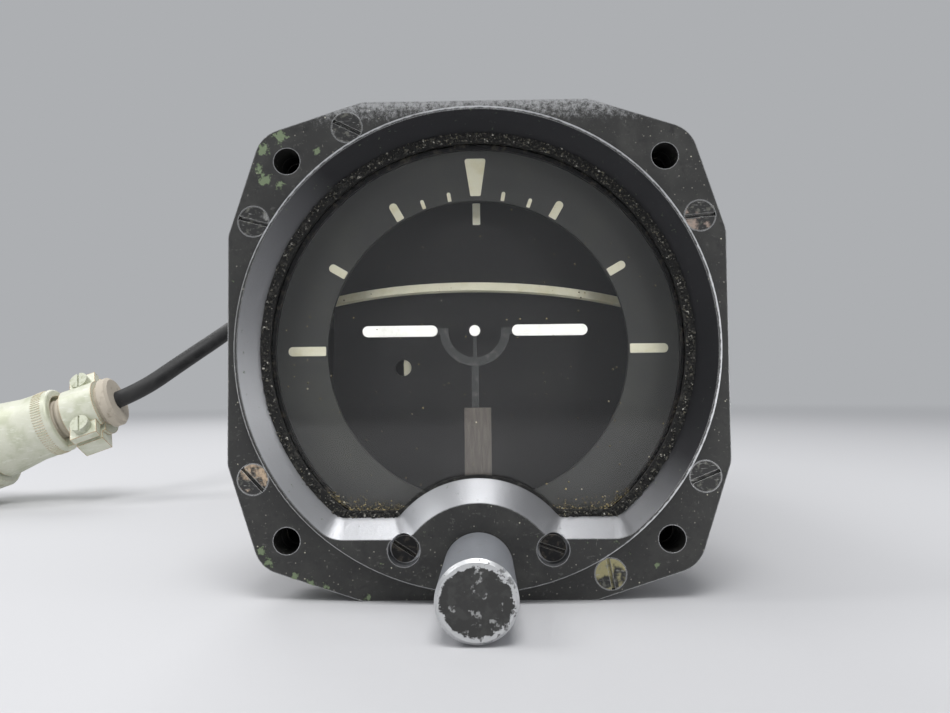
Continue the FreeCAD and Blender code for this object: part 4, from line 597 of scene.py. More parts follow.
@dataclass(frozen=True)
class KnobFinish(Finish):
    """Black anodise on a turned knob, scuffed on its face and worn bright at its rim."""

    bright: Coat = Coat("C6C7C8", 0.38, 0.8)
    side: Coat = Coat("A0A3A9", 0.38, 0.45)
    centre_z: float = -35.2
    face_y: float = -21.8
    side_start: float = 0.1
    side_full: float = 0.6
    rim_start: float = 6.25
    rim_wide: float = 6.45
    rim_ragged: float = 3.0
    rim_full: float = 0.4
    rim_end: float = 0.75

    def covers(self, tree: Tree, place: Socket) -> list[Cover]:
        """Add the satin side and the bright rim.

        Radius is measured from the knob's own axis, which runs along Y.  Noise times
        rim_ragged is added to it, and the rim shows from rim_start to rim_wide.

        Args:
            tree: The node tree.
            place: The surface position.

        Returns:
            The covers in the order they are laid.
        """
        axes = add(tree, "SeparateXYZ", place).outputs
        across = add(tree, "VectorMath", place, FLAT_XZ, operation="MULTIPLY")
        centre = (0.0, 0.0, self.centre_z * MM)
        radius = add(tree, "VectorMath", across, centre, operation="DISTANCE").outputs["Value"]
        pattern = {"Scale": per_metre(1.9), "Detail": 6.0, "Roughness": 0.7}
        chatter = add(tree, "TexNoise", place, named=pattern)
        start, full = ((self.face_y + gap) * MM for gap in (self.side_start, self.side_full))
        side = add(tree, "MapRange", axes[1], start, full)
        ragged = add(tree, "Math", chatter, self.rim_ragged * MM, radius, operation="MULTIPLY_ADD")
        rim = add(tree, "MapRange", ragged, self.rim_start * MM, self.rim_wide * MM, **SMOOTH)
        start, full = ((self.face_y + gap) * MM for gap in (self.rim_end, self.rim_full))
        front = add(tree, "MapRange", axes[1], start, full)
        rim = add(tree, "Math", rim, front, operation="MULTIPLY")
        unworn = blotches(tree, place, Layer(self.ground, PATCHES, 1.3, 0.57, 0.62, share=0.75))
        rim = add(tree, "Math", rim, unworn, operation="SUBTRACT", use_clamp=True)
        stain, *rest = super().covers(tree, place)
        return [stain, (side, self.side, 0.0), *rest, (rim, self.bright, -0.02)]


@dataclass(frozen=True)
class Head:
    """One screw head's wear: its place round the dial in degrees, share and colour."""

    angle: float
    share: str
    colour: str


@dataclass(frozen=True)
class ScrewFinish(Finish):
    """Blackened brass screw heads, each worn to its own shade."""

    heads: tuple[Head, ...] = (
        Head(-150.0, "868686", "BCA78F"),
        Head(-60.0, "989898", "9C9672"),
        Head(-30.0, "3C3C3C", "77766F"),
        Head(30.0, "808080", "A6958A"),
        Head(120.0, "6A6A6A", "9A9A98"),
        Head(150.0, "707070", "9A9A98"),
    )
    before: float = 12.0
    worn_cut: tuple[float, ...] = (0.72, 0.82)
    worn: tuple[float, float] = (0.42, 0.85)

    def covers(self, tree: Tree, place: Socket) -> list[Cover]:
        """Add worn metal whose share and colour change from screw to screw.

        The screw is told by the angle of its place round the dial's axis, which
        is the arc tangent of z over x, as a share of a full turn.  A screw's shade
        begins that many degrees before its centre; worn is its roughness and metal.

        Args:
            tree: The node tree.
            place: The surface position.

        Returns:
            The covers in the order they are laid.
        """
        axes = add(tree, "SeparateXYZ", place).outputs
        angle = add(tree, "Math", axes[2], axes[0], operation="ARCTAN2")
        turn = add(tree, "MapRange", angle, -math.pi, math.pi)
        starts = [(head.angle - self.before + 180) / 360 for head in self.heads]
        share, colour = (
            add(tree, "ValToRGB", turn, stops=tuple(zip(starts, codes)))
            for codes in zip(*((head.share, head.colour) for head in self.heads))
        )
        share.color_ramp.interpolation = colour.color_ramp.interpolation = "CONSTANT"
        pattern = {"Scale": per_metre(3.6), "Detail": 6.0, "Roughness": 0.6}
        blotch = add(tree, "TexNoise", place, named=pattern)
        level = add(tree, "Math", share, blotch, operation="ADD")
        mask = add(tree, "MapRange", level, *self.worn_cut, **SMOOTH)
        return [(mask, Coat(colour.outputs[0], *self.worn), 0.0), *super().covers(tree, place)]


@dataclass(frozen=True)
class FloorFinish(Finish):
    """Pale board that fades into the surroundings far from the object."""

    far_colour: str = "ADAFB2"
    near: float = 450.0
    far: float = 1300.0

    def material(self) -> Material:
        """Mix the board, by distance from the object, into the colour round it.

        Returns:
            The material.
        """
        made = super().material()
        tree = made.node_tree
        place = add(tree, "TexCoord").outputs["Object"]
        flat = add(tree, "VectorMath", place, (1.0, 1.0, 0.0), operation="MULTIPLY")
        away = add(tree, "VectorMath", flat, operation="LENGTH").outputs["Value"]
        share = add(tree, "MapRange", away, self.near * MM, self.far * MM, **SMOOTH)
        haze = add(tree, "Emission", srgb(self.far_colour), 1.0)
        mixed = add(tree, "MixShader", share, tree.nodes["Principled BSDF"], haze)
        feed(tree, tree.nodes["Material Output"].inputs["Surface"], mixed)
        return made


@dataclass(frozen=True)
class GlassFinish(Finish):
    """Clear window glass that reflects weakly and lets lamps through to the dial."""

    index: float = 1.38

    def material(self) -> Material:
        """Build the clear glass, with a faint film of dust in its roughness.

        Returns:
            The material.
        """
        made = bpy.data.materials.new(self.name)
        made.use_nodes = True
        tree = made.node_tree
        shader = tree.nodes["Principled BSDF"]
        place = add(tree, "TexCoord").outputs["Object"]
        clear = {"Base Color": srgb(self.ground.colour), "IOR": self.index, "Transmission Weight": 1.0}
        film = blotches(tree, place, Layer(self.ground, PATCHES, 9.0, 0.45, 0.8, share=0.02))
        for name, value in {**clear, "Roughness": film}.items():
            feed(tree, shader.inputs[name], value)
        lamp = add(tree, "LightPath").outputs["Is Shadow Ray"]
        mixed = add(tree, "MixShader", lamp, shader, add(tree, "BsdfTransparent"))
        feed(tree, tree.nodes["Material Output"].inputs["Surface"], mixed)
        return made


# Baked black enamel over chromate primer on a die-cast aluminium bezel: a dull satin
# black with cream nicks, thin bright edges and pale green primer where it has flaked.
BEZEL_ENAMEL = BezelFinish.of(
    "black_enamel_on_cast_bezel", Coat("212120", 0.5),
    PATCHES("30302E", 0.56, 6.0, 0.4, 0.68),
    PATCHES("181818", 0.44, 2.4, 0.52, 0.7),
    PATCHES("5E5D5A", 0.55, 1.0, 0.6, 0.74, stretch=(0.7, 1.0, 1.3), share=0.6),
    PATCHES("7F7D76", 0.55, 0.42, 0.64, 0.72, stretch=(1.4, 1.0, 0.5), share=0.8),
    SPECKS("97948A", 0.6, 0.7, 0.05, 0.2, share=0.2, depth=-0.02),
    SPECKS("CFCCB8", 0.6, 1.6, 0.03, 0.09, share=0.4, depth=-0.02),
    EDGES("B4B5B6", 0.38, 0.4, 0.035, 0.09, metal=0.9),
    Relief(0.45, 0.02), Relief(0.12, 0.006),
)
# The same enamel sprayed on the drawn case: cleaner, a little orange-peel, rubbed seams.
CASE_ENAMEL = Finish.of(
    "black_enamel_on_drawn_case", Coat("262626", 0.42),
    PATCHES("333332", 0.52, 14.0, 0.45, 0.75),
    PATCHES("47463F", 0.6, 4.0, 0.62, 0.78, stretch=(1.0, 0.25, 1.0), share=0.6),
    SPECKS("9C9A92", 0.55, 4.5, 0.03, 0.07, share=0.35, depth=-0.02),
    EDGES("A9AAAC", 0.38, 0.4, 0.06, 0.14, metal=0.9),
    Relief(0.8, 0.015), Relief(0.2, 0.004),
)
# Polished instrument glass with a faint film. Its index is set below plain glass's
# 1.5, so that the pale floor doesn't hide the dial.
WINDOW_GLASS = GlassFinish("polished_window_glass", Coat("FFFFFF", 0.0))
# Black neoprene cord gasket, crusted with grit: dull, open-grained, flecked with gold.
GASKET_RUBBER = Finish.of(
    "black_neoprene_gasket", Coat("121211", 0.85),
    PATCHES("3B3A36", 0.9, 0.9, 0.52, 0.68, depth=0.05),
    SPECKS("8A877B", 0.8, 0.8, 0.08, 0.22, share=0.16, depth=0.04),
    Relief(0.4, 0.12), Relief(0.18, 0.05),
)
# Grit and lint shed by the gasket: mostly black rubber crumbs, some sand-gold.
RUBBER_CRUMBS = Finish.of(
    "black_rubber_crumbs", Coat("181817", 0.7),
    PATCHES("5A5850", 0.8, 0.5, 0.54, 0.6),
    PATCHES("8E8973", 0.6, 0.4, 0.63, 0.66),
    PATCHES("C4C2B8", 0.6, 0.6, 0.61, 0.66),
    Relief(0.1, 0.03),
)
# Fine gold-brown dust that has fallen to the foot of the glass.
GOLDEN_DUST = Finish.of(
    "gold_brown_dust", Coat("5F5845", 0.8),
    PATCHES("A8986A", 0.5, 0.8, 0.52, 0.6),
    PATCHES("C9C4B0", 0.7, 1.2, 0.6, 0.66),
    Relief(0.1, 0.02),
)
# Blackened steel screws and rings: dark oxide with oily sheen and bright nicks.
BLACK_OXIDE = Finish.of(
    "blackened_steel", Coat("1E1E1F", 0.42, 0.75),
    PATCHES("4A443B", 0.6, 1.1, 0.5, 0.7, metal=0.4),
    EDGES("A9A7A1", 0.36, 0.18, 0.045, 0.13, metal=0.95),
    Relief(0.2, 0.006),
)
# Blackened brass fillister heads, worn through to yellow or pinkish metal.
WORN_BRASS_SCREWS = ScrewFinish.of(
    "blackened_brass_screws", Coat("2C2C2C", 0.44, 0.35),
    PATCHES("77776F", 0.5, 1.1, 0.52, 0.66, share=0.6, metal=0.5),
    PATCHES("A2A2A0", 0.4, 0.5, 0.6, 0.66, stretch=(0.35, 1.0, 2.2), share=0.8, metal=0.8),
    EDGES("B5B5B3", 0.38, 0.22, 0.035, 0.1, metal=0.85),
    Relief(0.25, 0.012), Relief(0.5, 0.02, (1.0, 1.0, 0.3)),
)
# Flat grey instrument lacquer on the mask plate: dead matt with a fine tooth.
MASK_LACQUER = Finish.of(
    "flat_grey_lacquer", Coat("2B2C2A", 0.78),
    PATCHES("32332F", 0.82, 11.0, 0.42, 0.7),
    SPECKS("4A4A40", 0.8, 3.4, 0.03, 0.06, share=0.3),
    Relief(0.5, 0.0015),
)
# Flat black lacquer on the disk behind the mask, a little bluer, with dust specks.
DISK_LACQUER = Finish.of(
    "flat_black_lacquer", Coat("101011", 0.72),
    PATCHES("191918", 0.76, 9.0, 0.45, 0.7),
    SPECKS("8C7C48", 0.5, 3.0, 0.03, 0.055, share=0.28),
    Relief(0.3, 0.004),
)
# Aged luminous paint on the marks and the horizon bar: cream, chalky, slightly stained.
LUMINOUS_CREAM = Finish.of(
    "aged_luminous_paint", Coat("D3D0B9", 0.62),
    PATCHES("C9C4A4", 0.66, 3.5, 0.45, 0.7),
    PATCHES("A8A184", 0.7, 0.8, 0.66, 0.76),
    Relief(0.22, 0.01),
)
# Luminous paint of the disk's index, written paler than the marks because it stands
# deep in the mask's shade: the extra paleness is painted light, in place of the light
# that the mask keeps from it.
PAINTED_LIGHT_CREAM = Finish.of(
    "luminous_paint_with_painted_light", Coat("F7F4DE", 0.55),
    PATCHES("E9E4C6", 0.6, 2.2, 0.5, 0.72),
    Relief(0.22, 0.01),
)
# White enamel on the aeroplane symbol: brighter and smoother than the marks.
WHITE_ENAMEL = Finish.of(
    "white_enamel", Coat("F4F4EE", 0.4),
    PATCHES("E6E6DE", 0.5, 2.2, 0.5, 0.75),
    EDGES("BDBDB2", 0.55, 0.1, 0.08, 0.2),
    Relief(0.3, 0.006),
)
# Grey-brown alodined brass plate of the symbol's guide: brushed up and down.
GUIDE_PLATE = Finish.of(
    "brushed_grey_brown_plate", Coat("514C47", 0.52, 0.3),
    PATCHES("605B55", 0.48, 2.4, 0.42, 0.68, stretch=(6.0, 1.0, 0.6), metal=0.35),
    EDGES("9C968C", 0.4, 0.1, 0.05, 0.14, metal=0.7),
    Relief(0.5, 0.006, (8.0, 1.0, 0.5)),
)
# Dull nickel wire of the symbol's carrier.
CARRIER_WIRE = Finish.of(
    "dull_nickel_wire", Coat("3A3B3B", 0.5, 0.6),
    PATCHES("555552", 0.55, 1.5, 0.5, 0.7, metal=0.6),
    EDGES("8A8A86", 0.4, 0.1, 0.08, 0.2, metal=0.85),
    Relief(0.3, 0.004),
)
# Black anodised turned aluminium: matt on the face, satin grey where light rakes the side.
KNOB_ANODISE = KnobFinish.of(
    "black_anodised_knob", Coat("2C2C2B", 0.52, 0.1),
    PATCHES("40403F", 0.55, 1.6, 0.46, 0.62, share=0.8, metal=0.3),
    PATCHES("A4A5A4", 0.42, 1.9, 0.61, 0.68, share=0.85, depth=-0.02, metal=0.75),
    SPECKS("C9C9C7", 0.45, 1.1, 0.05, 0.14, share=0.25, depth=-0.02, metal=0.7),
    EDGES("C9CACC", 0.34, 0.3, 0.05, 0.12, metal=0.9),
    Relief(0.35, 0.012), Relief(0.25, 0.006, (1.0, 4.0, 1.0)),
)
# Ground and polished tool steel of shafts and pins.
GROUND_STEEL = Finish.of(
    "ground_steel", Coat("B7B8BA", 0.26, 1.0),
    PATCHES("8F9092", 0.36, 1.8, 0.45, 0.7, stretch=(1.0, 5.0, 1.0), metal=1.0),
    Relief(0.3, 0.002, (1.0, 6.0, 1.0)),
)
# Hardened bearing steel: brighter, with a thin film of oil.
BEARING_STEEL = Finish.of(
    "hardened_bearing_steel", Coat("C4C6CA", 0.18, 1.0),
    PATCHES("9C8E70", 0.3, 2.5, 0.58, 0.75, metal=1.0),
    Relief(0.2, 0.001),
)
# Free-machining brass of gears, slides and weights: yellow, tarnished in the hollows.
TURNED_BRASS = Finish.of(
    "turned_brass", Coat("C9A45A", 0.3, 1.0),
    PATCHES("8F6E38", 0.44, 3.0, 0.45, 0.72, metal=1.0),
    EDGES("E2C888", 0.24, 0.15, 0.06, 0.16, metal=1.0),
    Relief(0.3, 0.003, (1.0, 5.0, 1.0)),
)
# Milled and bead-blasted aluminium of the gimbal and the gyro housing.
MILLED_ALUMINIUM = Finish.of(
    "bead_blasted_aluminium", Coat("A9ABAE", 0.42, 1.0),
    PATCHES("8C8D8F", 0.5, 5.0, 0.42, 0.7, metal=1.0),
    EDGES("CDCFD2", 0.3, 0.2, 0.06, 0.16, metal=1.0),
    Relief(0.25, 0.006),
)
# Varnished silicon-iron laminations of the stator: thin dark bands along its axis.
LAMINATED_IRON = Finish.of(
    "varnished_laminations", Coat("4A4038", 0.45, 0.6),
    PATCHES("6F4A2C", 0.35, 0.5, 0.48, 0.56, stretch=(0.15, 0.15, 1.0), depth=-0.02, metal=0.3),
    Relief(0.35, 0.02, (0.1, 0.1, 1.0)),
)
# Moulded black phenolic of the brush block and the plug's insert.
MOULDED_PHENOLIC = Finish.of(
    "moulded_black_phenolic", Coat("1A1816", 0.38),
    PATCHES("2B2622", 0.5, 2.0, 0.5, 0.72),
    Relief(0.4, 0.008),
)
# Nickel-plated brass of the cable's gland and nut.
NICKEL_PLATE = Finish.of(
    "nickel_plated_gland", Coat("9D9A90", 0.3, 1.0),
    PATCHES("77736A", 0.44, 2.2, 0.48, 0.72, metal=1.0),
    EDGES("C9BE9A", 0.3, 0.2, 0.06, 0.16, metal=1.0),
    Relief(0.25, 0.004),
)
# Extruded black neoprene cable jacket: matt, faintly ribbed along its length, dusty.
CABLE_JACKET = Finish.of(
    "black_neoprene_jacket", Coat("1B1B1C", 0.55),
    PATCHES("2B2B2B", 0.68, 4.0, 0.42, 0.7),
    SPECKS("6F6D66", 0.8, 1.8, 0.05, 0.12, share=0.2),
    Relief(0.5, 0.03), Relief(0.15, 0.01),
)
# Aged tan rubber of the bush inside the clamp: brown-grey, chalky at its lips.
TAN_RUBBER = Finish.of(
    "aged_tan_rubber", Coat("BDB4A5", 0.8),
    PATCHES("8F8474", 0.85, 2.5, 0.54, 0.78),
    EDGES("DED7C8", 0.8, 0.3, 0.05, 0.15),
    Relief(0.4, 0.02),
)
# Olive chromate over cadmium on the plug: pale grey-green, rubbed tan along the edges.
OLIVE_CHROMATE = Finish.of(
    "olive_chromate_plate", Coat("D5D6C5", 0.46, 0.05),
    PATCHES("C3C6AF", 0.46, 6.0, 0.42, 0.68, metal=0.15),
    PATCHES("E4E5D9", 0.34, 2.0, 0.54, 0.7, stretch=(0.5, 1.5, 1.5), share=0.7, metal=0.2),
    SPECKS("9C9678", 0.6, 2.6, 0.04, 0.1, share=0.2, depth=-0.02, metal=0.1),
    EDGES("B48F62", 0.5, 0.6, 0.03, 0.09, metal=0.2),
    Relief(0.6, 0.012), Relief(0.15, 0.004),
)
# Cadmium-plated clamp screws: the same green-grey, a little brighter.
CADMIUM_SCREWS = Finish.of(
    "cadmium_plated_screws", Coat("C3C6B3", 0.6, 0.05),
    PATCHES("A9AC94", 0.64, 1.5, 0.48, 0.7, metal=0.05),
    EDGES("D6D6CC", 0.5, 0.15, 0.06, 0.16, metal=0.4),
    Relief(0.25, 0.006),
)
# Gold flash on the contact sleeves.
GOLD_FLASH = Finish.of(
    "gold_flashed_contacts", Coat("D9B25A", 0.24, 1.0),
    PATCHES("A8843C", 0.36, 1.0, 0.5, 0.7, metal=1.0),
    Relief(0.15, 0.002),
)
# Painted board of the studio floor: plain, pale and matt.
FLOOR_BOARD = FloorFinish("pale_painted_board", Coat("C8C8CA", 0.9))


class Assembly:
    """A sub-assembly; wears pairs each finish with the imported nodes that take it."""

    wears: ClassVar[tuple[tuple[Finish, str], ...]] = ()

    def build(self, frame: dict) -> None:
        """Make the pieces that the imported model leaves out, and dress its nodes.

        Args:
            frame: The loaded frame.
        """
        self.make(frame)
        for finish, names in self.wears:
            for name in names.split():
                for slot in frame["nodes"][name].material_slots:
                    slot.material = finish.material()
                log.info("dressed %s in %s", name, finish.name)

    def make(self, frame: dict) -> None:
        """Make nothing, unless a sub-assembly has pieces of its own."""


# ---------------------------------------------------------------- the dial


class End(Enum):
    """How a painted mark ends."""

    SQUARE = 0.12
    ROUNDED = 0.48


@dataclass(frozen=True)
class Mark:
    """A painted mark: its angle clockwise from the top, its ends' radii and widths."""

    angle: float
    inner: float
    outer: float
    wide_in: float
    wide_out: float
    end: End = End.ROUNDED

    def outline(self, steps: int = 7) -> np.ndarray:
        """The mark's outline in the dial's plane.

        Four corner arcs, each a quarter circle about a centre set in from its corner
        by its radius, which is a share of the width at that end; then the whole is
        turned by the mark's angle.

        Args:
            steps: Points along each corner arc.

        Returns:
            Points (4 x steps, 2) as x and z, in millimetres.
        """
        arc = np.linspace(0, math.pi / 2, steps)
        start = np.array([0.0, math.pi / 2, math.pi, 1.5 * math.pi])[:, None]
        wide = np.array([self.wide_out, self.wide_out, self.wide_in, self.wide_in])[:, None]
        radius = wide * np.array([self.end.value] * 2 + [End.SQUARE.value] * 2)[:, None]
        half = wide / 2
        side = np.array([1, -1, -1, 1])[:, None]
        level = np.array([self.outer, self.outer, self.inner, self.inner])[:, None]
        inward = np.array([-1, -1, 1, 1])[:, None]
        u = side * (half - radius) + radius * np.cos(start + arc)
        v = level + inward * radius + radius * np.sin(start + arc)
        cos, sin = math.cos(math.radians(self.angle)), math.sin(math.radians(self.angle))
        return np.stack([u * cos + v * sin, v * cos - u * sin], -1).reshape(-1, 2)


def paint_marks(marks: tuple[Mark, ...], face: float, thick: float) -> np.ndarray:
    """Turn marks into thin raised layers of paint on a face.

    Each layer's rows are its middle just behind the face, its outline there, its
    outline at the paint's surface, a slightly smaller outline, and its middle.

    Args:
        marks: The marks.
        face: Where the face stands along Y.
        thick: How far the paint stands in front of it.

    Returns:
        Grids for mesh_piece.
    """
    flat = np.stack([mark.outline() for mark in marks])
    middle = flat.mean(axis=1, keepdims=True)
    shrink = np.array([0.0, 1.0, 1.0, 0.97, 0.0])[None, :, None, None]
    depth = np.array([face + 0.02, face + 0.02, face - thick * 0.7, face - thick, face - thick])
    plane = middle[:, None] + (flat - middle)[:, None] * shrink
    along = np.broadcast_to(depth[None, :, None], plane.shape[:3])
    return np.stack([plane[..., 0], along, plane[..., 1]], axis=-1)


@dataclass(frozen=True)
class Dial(Assembly):
    """The mask with its bank marks, the disk behind it and the aeroplane symbol."""

    wears = (
        (MASK_LACQUER, "mask_dial"),
        (DISK_LACQUER, "sky_disk"),
        (LUMINOUS_CREAM, "horizon_bar"),
        (WHITE_ENAMEL, "symbol_wings symbol_dot"),
        (CARRIER_WIRE, "symbol_bracket"),
        (GUIDE_PLATE, "gear_plate symbol_guide"),
        (BLACK_OXIDE, "mask_snap_ring"),
    )
    mask_face: float = 9.0
    disk_face: float = 24.0
    paint: float = 0.07
    wedge: Mark = Mark(-0.2, 27.3, 34.0, 1.85, 3.7, End.SQUARE)
    index: Mark = Mark(-0.4, 25.4, 29.7, 1.5, 1.5, End.SQUARE)
    inner: float = 26.75
    level: float = 33.4
    coarse: float = 30.1
    fine: float = 28.4
    level_wide: float = 1.65
    coarse_wide: float = 1.45
    fine_wide: float = 0.65
    tab_place: Triple = (-14.84, 25.2, -2.68)
    tab_radius: float = 1.75
    tab_thick: float = 0.25
    tab_middle: float = 0.42

    def tab(self) -> np.ndarray:
        """The half-round painted tab that shows in the disk's small hole.

        A unit disc of p and q is made into a half disc: x is the greater of p and
        nought, and the tab_middle share is added and taken away again by distance
        from the middle, so that the rings shrink about a point inside it.

        Returns:
            One grid for mesh_piece.
        """
        corners = np.array([(0.0, 0.0), (0.0, 1.0), (self.tab_thick, 1.0), (self.tab_thick, 0.0)])
        local = turned(corners, 0.02)
        along, p, q = local[..., 0], local[..., 1], local[..., 2]
        x = np.maximum(p, 0) + self.tab_middle * (1 - np.hypot(p, q))
        shape = np.stack([self.tab_radius * x, along, self.tab_radius * q], axis=-1)
        return (shape + np.array(self.tab_place))[None]

    def marks(self) -> tuple[Mark, ...]:
        """The mask's marks: the wedge, level, thirties and sixties, tens and twenties."""
        kinds = (
            (90.0, self.level, self.level_wide),
            (30.0, self.coarse, self.coarse_wide),
            (60.0, self.coarse, self.coarse_wide),
            (10.0, self.fine, self.fine_wide),
            (20.0, self.fine, self.fine_wide),
        )
        pairs = ((angle * side, outer, wide) for angle, outer, wide in kinds for side in (-1.0, 1.0))
        return (self.wedge, *(Mark(angle, self.inner, outer, wide, wide) for angle, outer, wide in pairs))

    def make(self, frame: dict) -> None:
        """Make the painted marks, the disk's index and its tab."""
        marks = paint_marks(self.marks(), self.mask_face, self.paint)
        index = paint_marks((self.index,), self.disk_face, self.paint)
        for name, grids, finish, body in (
            ("bank_marks", marks, LUMINOUS_CREAM, "case"),
            # The index's paler cream is painted light, in place of the light that the mask's shade keeps from it.
            ("bank_index", index, PAINTED_LIGHT_CREAM, "roll"),
            ("disk_tab", self.tab(), LUMINOUS_CREAM, "roll"),
        ):
            settle(mesh_piece(name, grids, finish.material(), smooth=False), body, "cream_paint")


# ---------------------------------------------------------------- bezel and window


@dataclass(frozen=True)
class Window(Assembly):
    """The bezel, its glass and gasket, and the crumbs and dust round the glass."""

    wears = (
        (BEZEL_ENAMEL, "bezel"),
        (WORN_BRASS_SCREWS, "flange_screws"),
        (BLACK_OXIDE, "gear_plate_screws glass_retainer"),
        (GASKET_RUBBER, "glass_gasket"),
        (WINDOW_GLASS, "cover_glass"),
    )
    gasket_face: float = 1.5
    glass_face: float = 2.3
    ring_inner: float = 34.75
    ring_outer: float = 36.25
    foot: float = -27.95
    foot_inner: float = -26.9
    arch_centre: float = -38.5
    arch_outer: float = 16.9
    bolt_half: float = 31.435
    nut_front: float = 8.02
    nut_long: float = 5.0
    nut_radius: float = 3.3
    nut_bore: float = 1.95
    nut_floor: float = 0.8
    nut_chamfer: float = 0.5
    crumbs: int = 2600
    crumb_sizes: tuple[float, float] = (0.08, 0.34)
    crumb_flat: float = 0.8
    crumb_lean: float = 0.09
    crumb_sunk: float = 0.12
    foot_crumbs: int = 420
    foot_start: float = 13.2
    foot_long: float = 9.6
    dust: int = 300
    dust_sizes: tuple[float, float] = (0.03, 0.2)
    dust_flat: float = 0.3
    dust_radius: float = 34.0
    dust_low: float = -26.0
    dust_fall: float = 0.45
    heap: int = 900
    heap_start: float = 12.4
    heap_long: float = 12.8
    heap_high: float = 1.9
    corner: float = 21.4
    corner_rise: float = 0.75

    def anchor_nuts(self) -> np.ndarray:
        """Closed round nuts behind the four panel holes.

        One turned cup, its mouth to the front, is set behind each hole.

        Returns:
            Grids for mesh_piece, one for each nut.
        """
        a, b = self.nut_front, self.nut_front + self.nut_long
        corners = [
            (b - self.nut_floor, 0.0),
            (b - self.nut_floor, self.nut_bore),
            (a, self.nut_bore),
            (a, self.nut_radius),
            (b - self.nut_chamfer, self.nut_radius),
            (b, self.nut_radius - self.nut_chamfer),
            (b, 0.0),
        ]
        local = turned(np.array(corners), columns=36)
        half = self.bolt_half
        centres = np.array([[-half, -half], [-half, half], [half, -half], [half, half]])
        x = centres[:, 0, None, None] + local[..., 1]
        z = centres[:, 1, None, None] + local[..., 2]
        return np.stack([x, np.broadcast_to(local[..., 0], x.shape), z], axis=-1)

    def crumb_places(self) -> np.ndarray:
        """Places of the crumbs on the gasket's ring and along its foot.

        On the ring, angle = a random share of the arc above the foot, drawn towards
        its lower ends, and radius = a random place across the gasket.  Along the
        foot, x is random between the arch and the ring, on either side.

        Returns:
            Points in millimetres, shaped (crumbs + foot crumbs, 3).
        """
        chance = np.random.default_rng(11)
        low = math.asin(self.foot / self.ring_outer)
        span = math.pi - 2 * low
        share = chance.random(self.crumbs)
        share = share + self.crumb_lean * np.sin(2 * math.pi * share)
        angle = low + span * share
        radius = self.ring_inner + (self.ring_outer - self.ring_inner) * chance.random(self.crumbs)
        ring = np.stack([radius * np.cos(angle), np.zeros(self.crumbs), radius * np.sin(angle)], -1)
        side = np.where(chance.random(self.foot_crumbs) < 0.5, -1.0, 1.0)
        x = side * (self.foot_start + self.foot_long * chance.random(self.foot_crumbs))
        z = self.foot + (self.foot_inner - self.foot) * chance.random(self.foot_crumbs)
        foot = np.stack([x, np.zeros(self.foot_crumbs), z], -1)
        places = np.concatenate([ring, foot])
        places[:, 1] = self.gasket_face - self.crumb_sunk * chance.random(len(places))
        keep = np.hypot(places[:, 0], places[:, 2] - self.arch_centre) > self.arch_outer + 0.1
        return places[keep & (places[:, 2] > self.foot)]

    def dust_places(self) -> np.ndarray:
        """Places of the dust on the glass: a thin fall all over and heaps at its foot.

        A grain of the fall starts anywhere on the glass and drops by a random share of
        its height over dust_low.  A heap's grain stands over the foot by a random
        share, raised to a power, of a height that is a sine along the foot.

        Returns:
            Points in millimetres on the glass.
        """
        chance = np.random.default_rng(23)
        angle = chance.random(self.dust) * math.tau
        radius = self.dust_radius * np.sqrt(chance.random(self.dust))
        x, z = radius * np.cos(angle), radius * np.sin(angle)
        thin = np.stack([x, z - (z - self.dust_low) * self.dust_fall * chance.random(self.dust)], -1)
        side = np.where(chance.random(self.heap) < 0.6, -1.0, 1.0)
        along = chance.random(self.heap)
        x = side * (self.heap_start + self.heap_long * along)
        floor = self.foot_inner + np.maximum(0, np.abs(x) - self.corner) * self.corner_rise
        z = floor + self.heap_high * chance.random(self.heap) ** 2.6 * (0.35 + np.sin(math.pi * along))
        flat = np.concatenate([thin, np.stack([x, z], -1)])
        inside = (
            (np.hypot(flat[:, 0], flat[:, 1]) < self.ring_inner)
            & (flat[:, 1] > self.foot_inner)
            & (np.hypot(flat[:, 0], flat[:, 1] - self.arch_centre) > self.arch_outer + 0.2)
        )
        flat = flat[inside]
        return np.stack([flat[:, 0], np.full(len(flat), self.glass_face - 0.03), flat[:, 1]], -1)

    def make(self, frame: dict) -> None:
        """Make the crumbs, the dust and the nuts."""
        crumbs = scattered(5, self.crumb_places(), self.crumb_sizes, self.crumb_flat)
        dust = scattered(7, self.dust_places(), self.dust_sizes, self.dust_flat)
        for name, grids, finish, slot in (
            ("gasket_crumbs", crumbs, RUBBER_CRUMBS, "gasket_rubber"),
            ("window_dust", dust, GOLDEN_DUST, "gasket_rubber"),
            ("anchor_nuts", self.anchor_nuts(), BLACK_OXIDE, "dark_steel"),
        ):
            settle(mesh_piece(name, grids, finish.material()), "case", slot)


# ---------------------------------------------------------------- adjuster, gyro, case


class Adjuster(Assembly):
    """The knob and the gears that lift the aeroplane symbol."""

    wears = (
        (KNOB_ANODISE, "adjust_knob"),
        (BLACK_OXIDE, "knob_set_screw"),
        (GROUND_STEEL, "knob_shaft idler_pin"),
        (TURNED_BRASS, "knob_bushing knob_gear idler_gear symbol_slide"),
    )


class GyroUnit(Assembly):
    """The gimbal, the gyro in its housing, and the arm that drives the horizon bar."""

    wears = (
        (MILLED_ALUMINIUM, "roll_gimbal gyro_housing_lower gyro_housing_upper horizon_arm rear_bulkhead"),
        (TURNED_BRASS, "arm_counterweight gimbal_counterweight gyro_rotor slip_rings"),
        (GROUND_STEEL, "arm_pivot_screw roll_spindle pitch_trunnions pitch_drive_pin rotor_shaft"),
        (BEARING_STEEL, "pitch_bearings roll_bearings rotor_bearings"),
        (LAMINATED_IRON, "gyro_stator"),
        (MOULDED_PHENOLIC, "brush_block"),
    )


class Case(Assembly):
    """The drawn case and its rear cover."""

    wears = ((CASE_ENAMEL, "instrument_case rear_cover"), (BLACK_OXIDE, "rear_cover_screws"))


# ---------------------------------------------------------------- cable and plug


